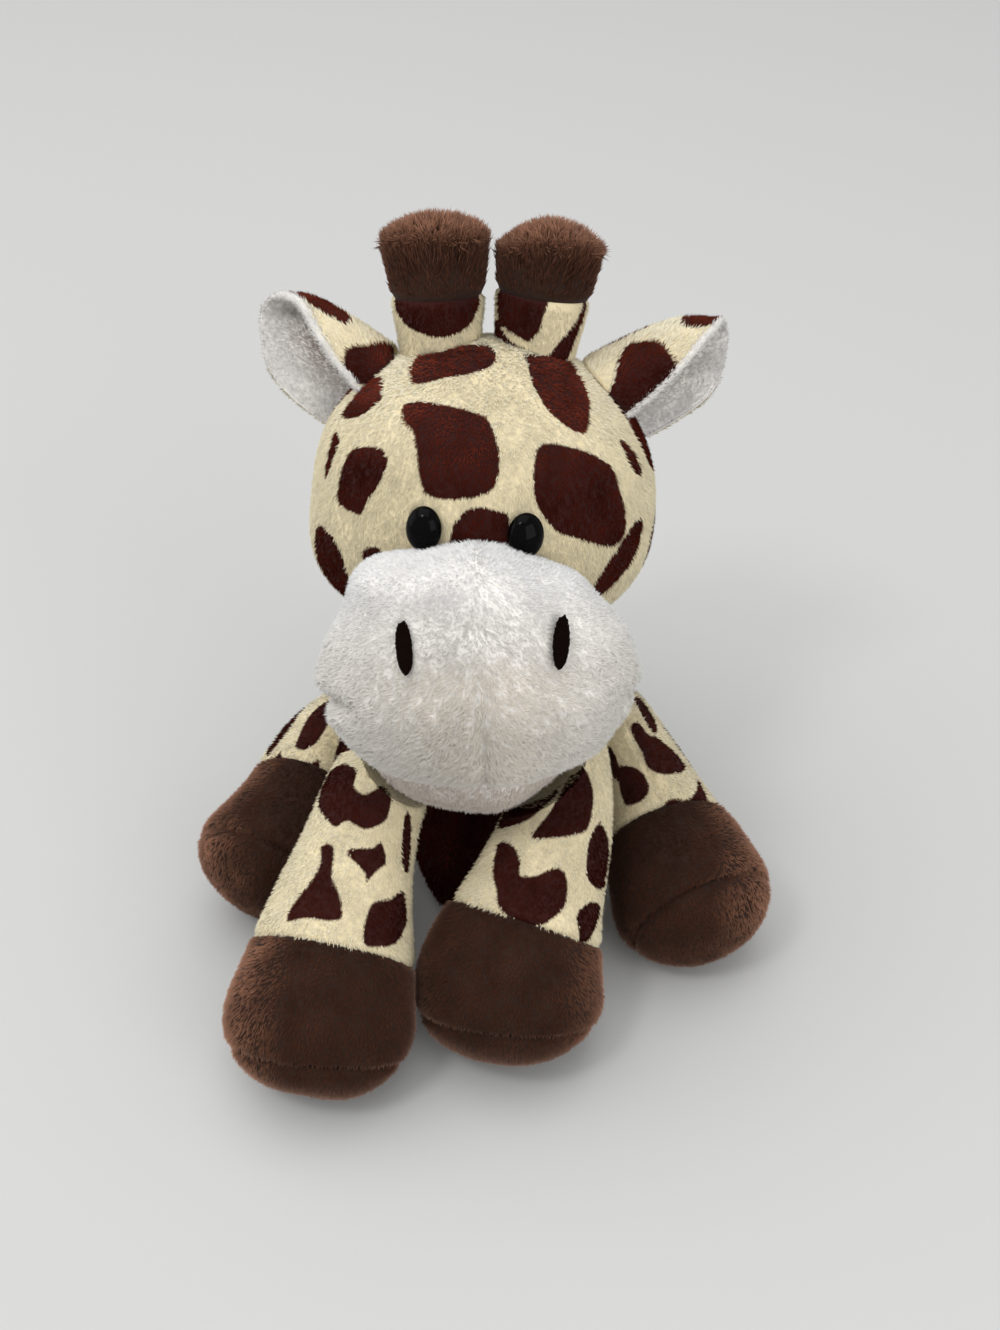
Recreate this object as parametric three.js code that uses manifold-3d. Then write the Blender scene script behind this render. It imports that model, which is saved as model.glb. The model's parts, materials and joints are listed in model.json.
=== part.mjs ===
// A sitting plush giraffe: sewn plush skins over stuffing, with a ball of a head, a broad white muzzle,
// two thick horns, folded ears and four legs that end in brown hooves.
// Sizes are millimetres and angles are degrees. +Z is up and the toy faces -Y, so its own left is +X.
import * as THREE from "three";
import { mergeVertices } from "three/addons/utils/BufferGeometryUtils.js";
import Module from "manifold-3d";

// Cloth, seams and the floor
const clothThickness = 1.6;
const seamGap = 0.3; // between pieces that are sewn or packed together
const swingGap = 0.6; // between pieces that swing on a seam
const chinGap = 3.6; // between the chin and the front legs and collar that it nods against
const floorPress = 0.5; // how far the floor presses a soft form flat

// Head
const headWidth = 84;
const headDepth = 77;
const headHeight = 75;
const headCentreHeight = 106;
const headTiltBack = 15;
const headRoll = 3;
const neckOpening = 34;
const neckBack = 3; // the neck seam, behind the middle of the head
const neckDrop = 33; // and below it
const headNodBack = 12; // degrees of nod each way
const headNodForward = 5;

// Muzzle and chin, placed from the middle of the head
const muzzleWidth = 77.4;
const muzzleDepth = 52.4;
const muzzleHeight = 53.6;
const muzzleForward = 46;
const muzzleDrop = 26;
const muzzleLean = 11.5;
const muzzleRoll = -4.5;
const chinWidth = 50;
const chinDepth = 40;
const chinHeight = 30;
const chinForward = 32;
const chinDrop = 54;

// Eyes and nostrils
const eyeWidth = 8.4;
const eyeHeight = 10.6;
const eyeBulge = 3.8;
const eyeRim = 0.8;
const eyeShank = 3;
const eyeShankLength = 6.5;
const eyeAside = 11.3;
const eyeShift = -2; // both eyes sit this far off the middle
const eyeUp = 3;
const washerWidth = 11;
const washerThickness = 1.2;
const fitGap = 0.3; // between a hard piece and the cloth or stuffing round it
const nostrilWidth = 4;
const nostrilHeight = 10.6;
const nostrilRaise = 0.9;
const nostrilAside = 17;
const nostrilShift = 1.5; // both nostrils sit this far off the middle
const nostrilUp = 9;
const nostrilLean = 5;

// Horns
const hornLength = 44;
const hornWidth = 20;
const hornFlare = 25; // width at the tip
const hornCapLength = 19;
const hornAside = 10.3;
const hornShift = -1; // both horns stand this far off the middle
const hornBack = 4;
const hornSink = 15.5; // the buried end, below the top of the head
const hornSplay = 5;
const hornRake = 3;

// Ears
const earLength = 41;
const earRadius = 11; // of the fold at the root
const leftEarOver = 190; // degrees of fold from the back of the ear over the top to its edge, at the root
const rightEarOver = 166;
const earUnder = 130; // and under it
const earCloth = 1.3;
const earAside = 21;
const earUp = 16.5;
const earBack = 4;
const earRise = 38;
const earSweep = 6; // how far the tip leans back
const earTurn = 16; // how far the open side turns down from straight ahead
const earFlapUp = 4; // how far an ear flaps
const earFlapDown = 14;

// Torso
const torsoWidth = 64;
const torsoDepth = 64;
const seatBack = 3;
const waistBack = 1;
const waistHeight = 42;
const collarForward = 8;
const collarHeight = 84;
const pelletDepth = 22;

// Legs. across and deep are the hoof's, before the floor presses it flat.
const frontHoofWidth = 46;
const frontHoofDepth = 42;
const hindHoofWidth = 42;
const hindHoofDepth = 41;
const toeReach = 20; // from the middle of a hoof to its end
const soleHeight = 10; // of the sole panel, along the limb
const legSwing = 14; // how far a leg lifts from the floor
const hindSplay = 50; // how far the lift of a hind leg leans outwards

// Tail and mane
const tailWidth = 7;
const tailLength = 28;
const tailHeight = 46;
const tailRoot = 4; // length of tail sewn into the torso
const tailDroop = 58;
const tuftWidth = 12;
const tuftLength = 18;
const tailSwing = 30;
const maneWidth = 6;
const maneProud = 7;
const maneSink = 3;
const maneStart = 38; // degrees up from level at the back of the head
const maneEnd = -30;

// How finely a form is divided, and a swing in degrees
const sweepStep = 7;
const bodySides = 20;
const bodyRows = 10;
const limbSides = 14;
const limbRows = 10;
const smallSides = 10;
const smallRows = 5;

const turn = THREE.MathUtils.degToRad;
const vector = (x, y, z) => new THREE.Vector3(x, y, z);
const wasm = await Module();
wasm.setup();

const plush = (color) => new THREE.MeshStandardMaterial({ color, roughness: 0.95, metalness: 0 });
const finishes = {
  print: plush("#dfd4b0"),
  brown: plush("#4a2f25"),
  white: plush("#dedcd8"),
  stuffing: plush("#f2f0ea"),
  pellets: new THREE.MeshStandardMaterial({ color: "#d9dde0", roughness: 0.5, metalness: 0 }),
  thread: new THREE.MeshStandardMaterial({ color: "#2a1712", roughness: 0.6, metalness: 0 }),
  eye: new THREE.MeshStandardMaterial({ color: "#070606", roughness: 0.08, metalness: 0 }),
  washer: new THREE.MeshStandardMaterial({ color: "#e8e8e6", roughness: 0.4, metalness: 0 }),
};

// Solids

// A closed mesh as a solid that faces out.
function solidFrom(positions, faces) {
  let sixVolumes = 0;
  const [a, b, c] = [vector(0, 0, 0), vector(0, 0, 0), vector(0, 0, 0)];
  for (let i = 0; i < faces.length; i += 3) {
    a.fromArray(positions, 3 * faces[i]);
    b.fromArray(positions, 3 * faces[i + 1]);
    c.fromArray(positions, 3 * faces[i + 2]);
    sixVolumes += a.dot(b.cross(c));
  }
  const triVerts = Uint32Array.from(faces);
  if (sixVolumes < 0) triVerts.reverse();
  const vertProperties = Float32Array.from(positions);
  return new wasm.Manifold(new wasm.Mesh({ numProp: 3, vertProperties, triVerts }));
}

// A three.js geometry as a solid.
function solidOf(geometry) {
  const bare = geometry.clone();
  bare.deleteAttribute("normal");
  bare.deleteAttribute("uv");
  const merged = mergeVertices(bare);
  return solidFrom(merged.attributes.position.array, merged.index.array);
}

// One closed surface over a row of outlines. An outline of one point is a pole. The ends are poles, or
// join each other in a loop, or are each the end of a sheet, whose outline runs out and back again.
function solidOver(outlines, ends = "poles") {
  const starts = [];
  let count = 0;
  for (const outline of outlines) {
    starts.push(count);
    count += outline.length;
  }
  const faces = [];
  const bands = ends === "loop" ? outlines.length : outlines.length - 1;
  for (let i = 0; i < bands; i++) {
    const j = (i + 1) % outlines.length;
    const [low, high] = [outlines[i].length, outlines[j].length];
    for (let k = 0; k < Math.max(low, high); k++) {
      const a = starts[i] + (k % low);
      const b = starts[i] + ((k + 1) % low);
      const c = starts[j] + (k % high);
      const d = starts[j] + ((k + 1) % high);
      if (low > 1) faces.push(a, b, d);
      if (high > 1) faces.push(a, d, c);
    }
  }
  if (ends === "sheet") {
    const size = outlines[0].length;
    const last = starts[starts.length - 1];
    for (let k = 0; k + 1 < size / 2; k++) {
      const [a, b, c, d] = [k, k + 1, size - 2 - k, size - 1 - k];
      faces.push(a, d, c, a, c, b);
      faces.push(last + a, last + b, last + c, last + a, last + c, last + d);
    }
  }
  const positions = outlines.flat().flatMap((point) => point.toArray());
  return solidFrom(positions, faces);
}

// A solid moved by a matrix.
function placed(solid, matrix) {
  return solid.transform(matrix.elements);
}

// Several solids as one.
function joined(solids) {
  return solids.reduce((whole, solid) => whole.add(solid));
}

// Every place that a solid takes as it turns about a line, in steps small enough to leave no ridge.
function swept(solid, { point, axis, from, to }) {
  const angles = [0];
  for (const limit of [from, to]) {
    const steps = Math.ceil(Math.abs(limit) / sweepStep);
    for (let i = 1; i <= steps; i++) angles.push((limit * i) / steps);
  }
  const there = new THREE.Matrix4().setPosition(point);
  const back = there.clone().invert();
  const places = angles.map((angle) => {
    const turned = new THREE.Matrix4().makeRotationAxis(axis, turn(angle));
    return placed(solid, there.clone().multiply(turned).multiply(back));
  });
  return joined(places);
}

// The largest body of a solid, without the slivers that a cut can leave.
function mainBody(solid) {
  const bodies = solid.decompose();
  bodies.sort((a, b) => b.volume() - a.volume());
  return bodies[0];
}

// Girths: the share of its full width that a form has at each share of its length

// A table of even shares, run through smoothly and rounded off over a share of the length at each end.
function girthOf(shares, startRound, endRound, fullness = 2) {
  const run = new THREE.SplineCurve(shares.map((share, i) => new THREE.Vector2(i, share)));
  const rounding = (share, round) => {
    const left = Math.max(0, 1 - share / round);
    return (1 - left ** fullness) ** (1 / fullness);
  };
  return (share) => {
    const start = startRound ? rounding(share, startRound) : 1;
    const end = endRound ? rounding(1 - share, endRound) : 1;
    return run.getPoint(share).y * start * end;
  };
}

const ballGirth = girthOf([1, 1], 0.5, 0.5);
const headGirth = girthOf([1.04, 1.05, 1.01, 1, 0.98], 0.5, 0.5, 2.08);
const muzzleGirth = girthOf([0.94, 0.94, 0.99, 0.91, 0.85, 1.02], 0.5, 0.46, 2.45);
const torsoGirth = girthOf([0.9, 1, 1, 0.93, 0.8, 0.66, 0.58], 0.28, 0.1, 3);
const legGirth = girthOf([0.52, 0.54, 0.6, 0.72, 0.88, 1, 0.99], 0.06, 0.24, 2.3);
const tailGirth = girthOf([1, 0.9, 0.8], 0.1, 0.1);
const tuftGirth = girthOf([0.5, 0.8, 1, 0.9], 0.2, 0.45);

// Soft forms

// Oval outlines square to a spine. across and deep are the full width and depth, and frame places the form.
class SoftForm {
  constructor({ spine, sideways = vector(1, 0, 0), across, deep, girth, sides, rows, frame }) {
    Object.assign(this, { spine, sideways, across, deep, girth, sides, rows });
    this.frame = frame ?? new THREE.Matrix4();
    this.length = spine.getLength();
  }

  // The middle of the form at a place along its spine, and the directions across and through it there.
  station(place) {
    const held = THREE.MathUtils.clamp(place, 0, 1);
    const along = this.spine.getTangentAt(held);
    const centre = this.spine.getPointAt(held).addScaledVector(along, (place - held) * this.length);
    const side = this.sideways.clone().addScaledVector(along, -this.sideways.dot(along)).normalize();
    return { centre, along, side, up: vector(0, 0, 0).crossVectors(side, along) };
  }

  // The outline at a place along the spine, on the surface that lies inset inside the form.
  outline(place, inset) {
    const share = (place * this.length - inset) / (this.length - 2 * inset);
    const swell = this.girth(THREE.MathUtils.clamp(share, 0, 1));
    const { centre, side, up } = this.station(place);
    if (swell < 1e-3) return [centre.applyMatrix4(this.frame)];
    const outline = [];
    for (let k = 0; k < this.sides; k++) {
      const angle = (2 * Math.PI * k) / this.sides;
      const point = centre.clone();
      point.addScaledVector(side, (this.across / 2 - inset) * swell * Math.cos(angle));
      point.addScaledVector(up, (this.deep / 2 - inset) * swell * Math.sin(angle));
      outline.push(point.applyMatrix4(this.frame));
    }
    return outline;
  }

  // Outlines between two places. The rows of the whole form keep their places, so its layers lie parallel.
  outlines(from, to, inset) {
    const places = [];
    for (let i = 0; i <= this.rows; i++) {
      const share = (1 - Math.cos((Math.PI * i) / this.rows)) / 2;
      places.push((inset + share * (this.length - 2 * inset)) / this.length);
    }
    const step = 1 / (this.rows * this.rows);
    const inside = (place) => (from === 0 || place > from + step) && (to === 1 || place < to - step);
    const kept = places.filter(inside);
    if (from > 0) kept.unshift(from);
    if (to < 1) kept.push(to);
    return kept.map((place) => this.outline(place, inset));
  }

  // The middle of a flat end.
  endPoint(place) {
    return [this.station(place).centre.applyMatrix4(this.frame)];
  }

  solid(inset = 0, from = 0, to = 1) {
    const rows = this.outlines(from, to, inset);
    if (from > 0) rows.unshift(this.endPoint(from));
    if (to < 1) rows.push(this.endPoint(to));
    return solidOver(rows);
  }

  // The cloth alone, open at each end that stops short of the form's own.
  skin(from, to) {
    const outer = this.outlines(from, to, 0);
    const inner = this.outlines(from, to, clothThickness).reverse();
    const ends = from > 0 && to < 1 ? "loop" : "poles";
    return solidOver(from > 0 ? [...inner, ...outer] : [...outer, ...inner], ends);
  }

  // The cloth of a form that a larger one cuts open.
  hollow(from = 0) {
    return this.solid(0, from).subtract(this.solid(clothThickness));
  }

  stuffing(from = 0, to = 1) {
    return this.solid(clothThickness + seamGap, from, to);
  }

  grown(gap) {
    return this.solid(-gap);
  }
}

const line = (start, end) => new THREE.LineCurve3(start, end);
const bent = (...points) => new THREE.CatmullRomCurve3(points);

// Frames

const headFrame = new THREE.Matrix4()
  .makeTranslation(0, 0, headCentreHeight)
  .multiply(new THREE.Matrix4().makeRotationX(-turn(headTiltBack)))
  .multiply(new THREE.Matrix4().makeRotationY(turn(headRoll)));

// A frame inside the head's, moved, leaned about X and rolled about Y.
function onHead(place, lean, roll) {
  const frame = headFrame.clone().multiply(new THREE.Matrix4().makeTranslation(place.x, place.y, place.z));
  frame.multiply(new THREE.Matrix4().makeRotationX(turn(lean)));
  return frame.multiply(new THREE.Matrix4().makeRotationY(turn(roll)));
}

// The pieces, each with its name, solid and finish
const pieces = [];
function add(name, solid, finish) {
  pieces.push({ name, solid: mainBody(solid), finish });
}

const spread = 4 * (headWidth + torsoWidth);
const ground = solidOf(new THREE.BoxGeometry(spread, spread, spread).translate(0, 0, -spread / 2));
const floorAt = (height) => placed(ground, new THREE.Matrix4().setPosition(0, 0, height));
const floor = floorAt(0);
const floorUnderCloth = floorAt(clothThickness + seamGap); // as the stuffing meets it

// Head, muzzle and chin

const upright = (height) => line(vector(0, 0, -height / 2), vector(0, 0, height / 2));

const head = new SoftForm({
  spine: upright(headHeight),
  across: headWidth,
  deep: headDepth,
  girth: headGirth,
  sides: bodySides,
  rows: bodyRows,
  frame: headFrame,
});
const muzzle = new SoftForm({
  spine: upright(muzzleHeight),
  across: muzzleWidth,
  deep: muzzleDepth,
  girth: muzzleGirth,
  sides: bodySides,
  rows: bodyRows,
  frame: onHead(vector(0, -muzzleForward, -muzzleDrop), -muzzleLean, muzzleRoll),
});
const chin = new SoftForm({
  spine: upright(chinHeight),
  across: chinWidth,
  deep: chinDepth,
  girth: ballGirth,
  sides: limbSides,
  rows: limbRows,
  frame: onHead(vector(0, -chinForward, -chinDrop), 0, 0),
});

// The neck opening leaves the bottom of the ball open to its width.
const neckShare = (1 - Math.sqrt(1 - (neckOpening / headWidth) ** 2)) / 2;
const headGrown = head.grown(seamGap);
const muzzleGrown = muzzle.grown(seamGap);

// Eyes: a domed button with a shank through the cloth, and a lock washer behind it

// A surface of revolution about its own Z, from a profile of radius and height.
function turned(profile) {
  const points = profile.map(([radius, height]) => new THREE.Vector2(radius, height));
  return solidOf(new THREE.LatheGeometry(points, limbSides).rotateX(Math.PI / 2));
}

function eyePieces(side) {
  // The seat is where a line out of the head, through the eye's place, meets the cloth.
  const aside = side * eyeAside + eyeShift;
  const across = aside / (headWidth / 2);
  const rise = eyeUp / (headHeight / 2);
  const forward = Math.sqrt(1 - across ** 2 - rise ** 2);
  const seat = vector(aside, (-forward * headDepth) / 2, eyeUp);
  const outward = vector(across / headWidth, -forward / headDepth, rise / headHeight).normalize();
  const frame = new THREE.Matrix4().lookAt(outward, vector(0, 0, 0), vector(0, 0, 1)).setPosition(seat);
  const place = headFrame.clone().multiply(frame);

  const oval = new THREE.Matrix4().makeScale(eyeWidth / eyeHeight, 1, 1);
  const domeAt = (grow) => {
    const radius = eyeHeight / 2 + grow;
    const profile = [[0, fitGap - grow], [radius - eyeRim, fitGap - grow]];
    for (let i = 0; i < smallRows; i++) {
      const angle = (i / smallRows) * (Math.PI / 2);
      const rise = fitGap + eyeRim + (eyeBulge - eyeRim + grow) * Math.sin(angle);
      profile.push([radius * Math.cos(angle), rise]);
    }
    return placed(turned([...profile, [0, fitGap + eyeBulge + grow]]), oval);
  };
  const shankAt = (grow, top) => {
    const thick = eyeShank / 2 + grow;
    const bottom = -eyeShankLength - grow;
    return turned([[0, bottom], [thick, bottom], [thick, top], [0, top]]);
  };
  const washerTop = -clothThickness - fitGap;
  const washerAt = (grow, hole) => {
    const [low, high] = [washerTop - washerThickness - grow, washerTop + grow];
    const wide = washerWidth / 2 + grow;
    const ring = [[hole, low], [wide, low], [wide, high], [hole, high]];
    return turned(hole ? [...ring, ring[0]] : ring);
  };
  const button = domeAt(0).add(shankAt(0, fitGap + eyeRim / 2));
  const pocket = shankAt(fitGap, eyeBulge).add(washerAt(fitGap, 0));
  return {
    clear: placed(domeAt(2 * fitGap), place),
    button: placed(button, place),
    washer: placed(washerAt(0, eyeShank / 2 + fitGap), place),
    pocket: placed(pocket, place),
  };
}

const eyes = { left: eyePieces(1), right: eyePieces(-1) };
const eyePockets = joined([eyes.left.pocket, eyes.right.pocket]);

// Nostrils: raised satin stitching, an oval cut from a thin layer over the muzzle

function nostril(side) {
  const outline = new THREE.Shape().absellipse(0, 0, nostrilWidth / 2, nostrilHeight / 2, 0, 2 * Math.PI);
  const reach = muzzleDepth;
  const settings = { depth: reach, bevelEnabled: false, curveSegments: smallSides };
  const cutter = new THREE.ExtrudeGeometry(outline, settings);
  cutter.rotateZ(-side * turn(nostrilLean)).rotateX(Math.PI / 2);
  cutter.translate(side * nostrilAside + nostrilShift, 0, nostrilUp);
  const oval = placed(solidOf(cutter), muzzle.frame);
  return oval.intersect(muzzle.grown(seamGap + nostrilRaise)).subtract(muzzleGrown);
}

// Horns: a printed stem and a long-pile cap over one core of stuffing

function hornForm(side) {
  const foot = vector(side * hornAside + hornShift, hornBack, headHeight / 2 - hornSink);
  const frame = onHead(foot, -hornRake, side * hornSplay);
  const width = hornWidth / hornFlare;
  return new SoftForm({
    spine: line(vector(0, 0, 0), vector(0, 0, hornLength)),
    across: hornFlare,
    deep: hornFlare,
    girth: girthOf([width, width, (1 + width) / 2, 1, 1], 0, 0.16, 2.4),
    sides: limbSides,
    rows: 2 * smallRows,
    frame,
  });
}

// Ears: two layers of cloth sewn back to back, and folded round so that the ear opens forwards

// The root of an ear, and the directions along it, across it and out of its open side.
function earFrame(side) {
  const [rise, sweep, down] = [turn(earRise), turn(earSweep), side * turn(earTurn)];
  const along = vector(side * Math.cos(rise), Math.sin(sweep), Math.sin(rise)).normalize();
  const ahead = vector(0, -1, 0).addScaledVector(along, along.y).normalize();
  const across = vector(0, 0, 0).crossVectors(along, ahead).multiplyScalar(-side);
  const root = vector(side * earAside, earBack, earUp);
  across.applyAxisAngle(along, down);
  const earOver = side > 0 ? leftEarOver : rightEarOver;
  return { root, along, across, open: ahead.applyAxisAngle(along, down), earOver };
}

// One layer of an ear, between two offsets from its middle, the one that faces the other layer last. The
// cloth is bent round the ear, nearly closed at the root and open at the tip.
function earLayer(away, facing, { root, along, across, open, earOver }) {
  const radiusShares = [1, 0.98, 0.96, 0.93, 0.88, 0.76, 0.46];
  const overShares = [1, 0.98, 0.94, 0.86, 0.74, 0.58, 0.42];
  const read = (shares, place) => {
    const run = new THREE.SplineCurve(shares.map((share, i) => new THREE.Vector2(i, share)));
    return run.getPoint(place).y;
  };
  const [rows, columns] = [smallRows + 2, smallRows + 3];
  const outlines = [];
  for (let i = 0; i <= rows; i++) {
    const radius = earRadius * read(radiusShares, i / rows);
    const over = earOver * read(overShares, i / rows);
    const centre = root.clone().addScaledVector(along, (earLength * i) / rows);
    const outline = [];
    for (const [offset, forth] of [[facing, true], [away, false]]) {
      for (let k = 0; k <= columns; k++) {
        const share = forth ? k / columns : 1 - k / columns;
        const angle = turn(share * (over + earUnder) - earUnder);
        const point = centre.clone().addScaledVector(open, -(radius + offset) * Math.cos(angle));
        point.addScaledVector(across, (radius + offset) * Math.sin(angle));
        outline.push(point.applyMatrix4(headFrame));
      }
    }
    outlines.push(outline);
  }
  return solidOver(outlines, "sheet");
}

function earPieces(side) {
  const frame = earFrame(side);
  const point = frame.root.clone().applyMatrix4(headFrame);
  const axis = vector(0, side, 0).transformDirection(headFrame);
  const horn = hornForm(side).solid(-swingGap, seamGap / hornLength);
  const bounds = head.grown(swingGap).add(horn);
  const clear = swept(bounds, { point, axis, from: -earFlapDown, to: earFlapUp });
  return {
    back: earLayer(seamGap / 2 + earCloth, seamGap / 2, frame).subtract(clear),
    lining: earLayer(-seamGap / 2 - earCloth, -seamGap / 2, frame).subtract(clear),
  };
}

// Torso: a pear that leans forward to the collar

const collarTop = vector(0, -collarForward, collarHeight);
const torso = new SoftForm({
  spine: bent(vector(0, seatBack, -floorPress), vector(0, waistBack, waistHeight), collarTop),
  across: torsoWidth,
  deep: torsoDepth,
  girth: torsoGirth,
  sides: bodySides,
  rows: bodyRows,
});
const torsoGrown = torso.grown(swingGap);

// Legs: root, knee and hoof are the middles of the limb there, and toe is the way that its end points

const legs = [
  {
    name: "front_left",
    across: frontHoofWidth,
    deep: frontHoofDepth,
    rootShares: [0.27, -0.469, 0.64],
    kneeShares: [0.3, -0.731, 0.56],
    hoofShares: [0.11, -1.275],
    toe: vector(-0.1, -0.62, -0.78),
    hoofStart: 0.61,
  },
  {
    name: "front_right",
    across: frontHoofWidth,
    deep: frontHoofDepth,
    rootShares: [-0.3, -0.469, 0.64],
    kneeShares: [-0.44, -0.787, 0.54],
    hoofShares: [-0.61, -1.425],
    toe: vector(-0.12, -0.66, -0.75),
    hoofStart: 0.64,
  },
  {
    name: "hind_left",
    across: hindHoofWidth,
    deep: hindHoofDepth,
    rootShares: [0.5, 0.075, 0.36],
    kneeShares: [0.62, -0.263, 0.36],
    hoofShares: [0.8, -0.797],
    toe: vector(0.35, -0.85, -0.25),
    hoofStart: 0.56,
    splay: -hindSplay,
  },
  {
    name: "hind_right",
    across: hindHoofWidth,
    deep: hindHoofDepth,
    rootShares: [-0.5, 0.094, 0.36],
    kneeShares: [-0.66, -0.15, 0.36],
    hoofShares: [-0.82, -0.581],
    toe: vector(-0.4, -0.85, -0.25),
    hoofStart: 0.46,
    splay: hindSplay,
  },
];

function legForm({ across, deep, rootShares, kneeShares, hoofShares, toe }) {
  const at = ([x, y, z]) => vector(x * torsoWidth, y * torsoDepth, z * collarHeight);
  const formAt = (height) => {
    const hoof = at([...hoofShares, 0]).setZ(height);
    const end = hoof.clone().addScaledVector(toe.clone().normalize(), toeReach);
    const spine = bent(at(rootShares), at(kneeShares), hoof, end);
    return new SoftForm({ spine, across, deep, girth: legGirth, sides: limbSides, rows: limbRows });
  };
  // The hoof comes down until the floor presses its lowest point.
  const held = formAt(deep / 2);
  const lowest = Math.min(...held.outlines(0, 1, 0).flat().map((point) => point.z));
  return formAt(deep / 2 - lowest - floorPress);
}

// A leg swings about a line through its root. The limb's free end lifts from the floor, straight up or
// leaning outwards by a splay.
function legHinge(form, splay = 0) {
  const root = form.station(0).centre;
  const level = form.station(1).centre.sub(root).setZ(0).normalize();
  const axis = level.clone().cross(vector(0, 0, 1)).applyAxisAngle(level, turn(splay));
  return { root, axis };
}

function addLeg(leg) {
  const form = legForm(leg);
  const { root, axis } = legHinge(form, leg.splay);
  const clear = swept(bodyBounds, { point: root, axis, from: -legSwing, to: 0 });
  const gap = seamGap / 2 / form.length;
  const trim = (solid) => solid.subtract(clear).subtract(floor);
  const { name, hoofStart } = leg;
  const sole = 1 - soleHeight / form.length;
  add(`${name}_leg_skin`, trim(form.skin(gap, hoofStart - gap)), "print");
  add(`${name}_hoof_skin`, trim(form.skin(hoofStart + gap, sole - gap)), "brown");
  add(`${name}_hoof_sole`, trim(form.skin(sole + gap, 1)), "brown");
  add(`${name}_leg_stuffing`, trim(form.stuffing(gap, hoofStart - gap)), "stuffing");
  add(`${name}_hoof_pellets`, form.stuffing(hoofStart + gap, 1).subtract(floorUnderCloth), "pellets");
}

// Tail and mane

const tailAlong = vector(0, Math.cos(turn(tailDroop)), -Math.sin(turn(tailDroop)));
const torsoAtTail = torso.station(tailHeight / torso.length);
const tailStart = torsoAtTail.centre.clone().addScaledVector(vector(0, 1, 0), torsoDepth / 2 - tailRoot);
const tailEnd = tailStart.clone().addScaledVector(tailAlong, tailLength);
const tuftEnd = tailEnd.clone().addScaledVector(tailAlong, tuftLength);
const small = { sides: smallSides, rows: smallRows };
const tail = new SoftForm({
  spine: line(tailStart, tailEnd),
  across: tailWidth,
  deep: tailWidth,
  girth: tailGirth,
  ...small,
});
const tuft = new SoftForm({
  spine: line(tailEnd.clone().addScaledVector(tailAlong, seamGap), tuftEnd),
  across: tuftWidth,
  deep: tuftWidth,
  girth: tuftGirth,
  ...small,
});

// A strip of long pile down the back of the head, as a bent slab cut by the ball.
function maneStrip() {
  const steps = smallRows + 2;
  const outlines = [];
  for (let i = 0; i <= steps; i++) {
    const angle = turn(maneStart + ((maneEnd - maneStart) * i) / steps);
    const out = vector(0, Math.cos(angle), Math.sin(angle));
    const onBall = vector(0, (out.y * headDepth) / 2, (out.z * headHeight) / 2);
    const swell = Math.sin((Math.PI * (i + 1 / 2)) / (steps + 1)) ** (1 / 2);
    const proud = maneProud * swell;
    const corners = [[-1, -maneSink], [1, -maneSink], [1 / 2, proud], [-1 / 2, proud]];
    const ring = corners.map(([aside, off]) => {
      const point = onBall.clone().addScaledVector(out, off);
      return point.setX((aside * maneWidth) / 2).applyMatrix4(headFrame);
    });
    outlines.push(ring);
  }
  return solidOver(outlines, "sheet").subtract(headGrown);
}

// Assembly

const nodPoint = vector(0, neckBack, -neckDrop).applyMatrix4(headFrame);
const nod = { point: nodPoint, axis: vector(1, 0, 0), from: -headNodBack, to: headNodForward };

const headSweep = swept(head.grown(swingGap), nod);
const chinSweep = swept(chin.grown(chinGap), nod);
const bodyBounds = torsoGrown.add(chinSweep);
const collarCut = headSweep.add(chinSweep);
// The seat starts as a small disc, just under the floor that cuts it flat.
const seat = torso.hollow(floorPress / 2 / torso.length);
add("torso_skin", seat.subtract(collarCut).subtract(floor), "print");
const fill = torso.stuffing().subtract(collarCut);
add("torso_stuffing", fill.subtract(floorAt(pelletDepth + seamGap)), "stuffing");
add("seat_pellet_bag", fill.intersect(floorAt(pelletDepth)).subtract(floorUnderCloth), "pellets");

add("head_skin", head.skin(neckShare, 1).subtract(eyePockets), "print");
add("head_stuffing", head.stuffing(neckShare, 1).subtract(eyePockets), "stuffing");
const muzzleBounds = headGrown.add(eyes.left.clear).add(eyes.right.clear);
add("muzzle_skin", muzzle.hollow().subtract(muzzleBounds), "white");
add("muzzle_stuffing", muzzle.stuffing().subtract(muzzleBounds), "stuffing");
const chinBounds = headGrown.add(muzzleGrown);
add("chin_skin", chin.hollow().subtract(chinBounds), "white");
add("chin_stuffing", chin.stuffing().subtract(chinBounds), "stuffing");
for (const [name, side] of [["left", 1], ["right", -1]]) {
  add(`${name}_eye`, eyes[name].button, "eye");
  add(`${name}_eye_washer`, eyes[name].washer, "washer");
  add(`${name}_nostril`, nostril(side), "thread");
  const horn = hornForm(side);
  const capShare = 1 - hornCapLength / hornLength;
  const gap = seamGap / 2 / hornLength;
  add(`${name}_horn_stem`, horn.skin(gap, capShare - gap).subtract(headGrown), "print");
  add(`${name}_horn_cap`, horn.skin(capShare + gap, 1), "brown");
  add(`${name}_horn_stuffing`, horn.stuffing(gap, 1).subtract(headGrown), "stuffing");
  const ear = earPieces(side);
  add(`${name}_ear_back`, ear.back, "print");
  add(`${name}_ear_lining`, ear.lining, "white");
}
add("mane", maneStrip(), "brown");
legs.forEach(addLeg);
const tailClear = swept(torsoGrown, { point: tailStart, axis: vector(1, 0, 0), from: -tailSwing, to: 0 });
add("tail", tail.solid().subtract(tailClear), "print");
add("tail_tuft", tuft.solid().subtract(floor), "brown");

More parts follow.
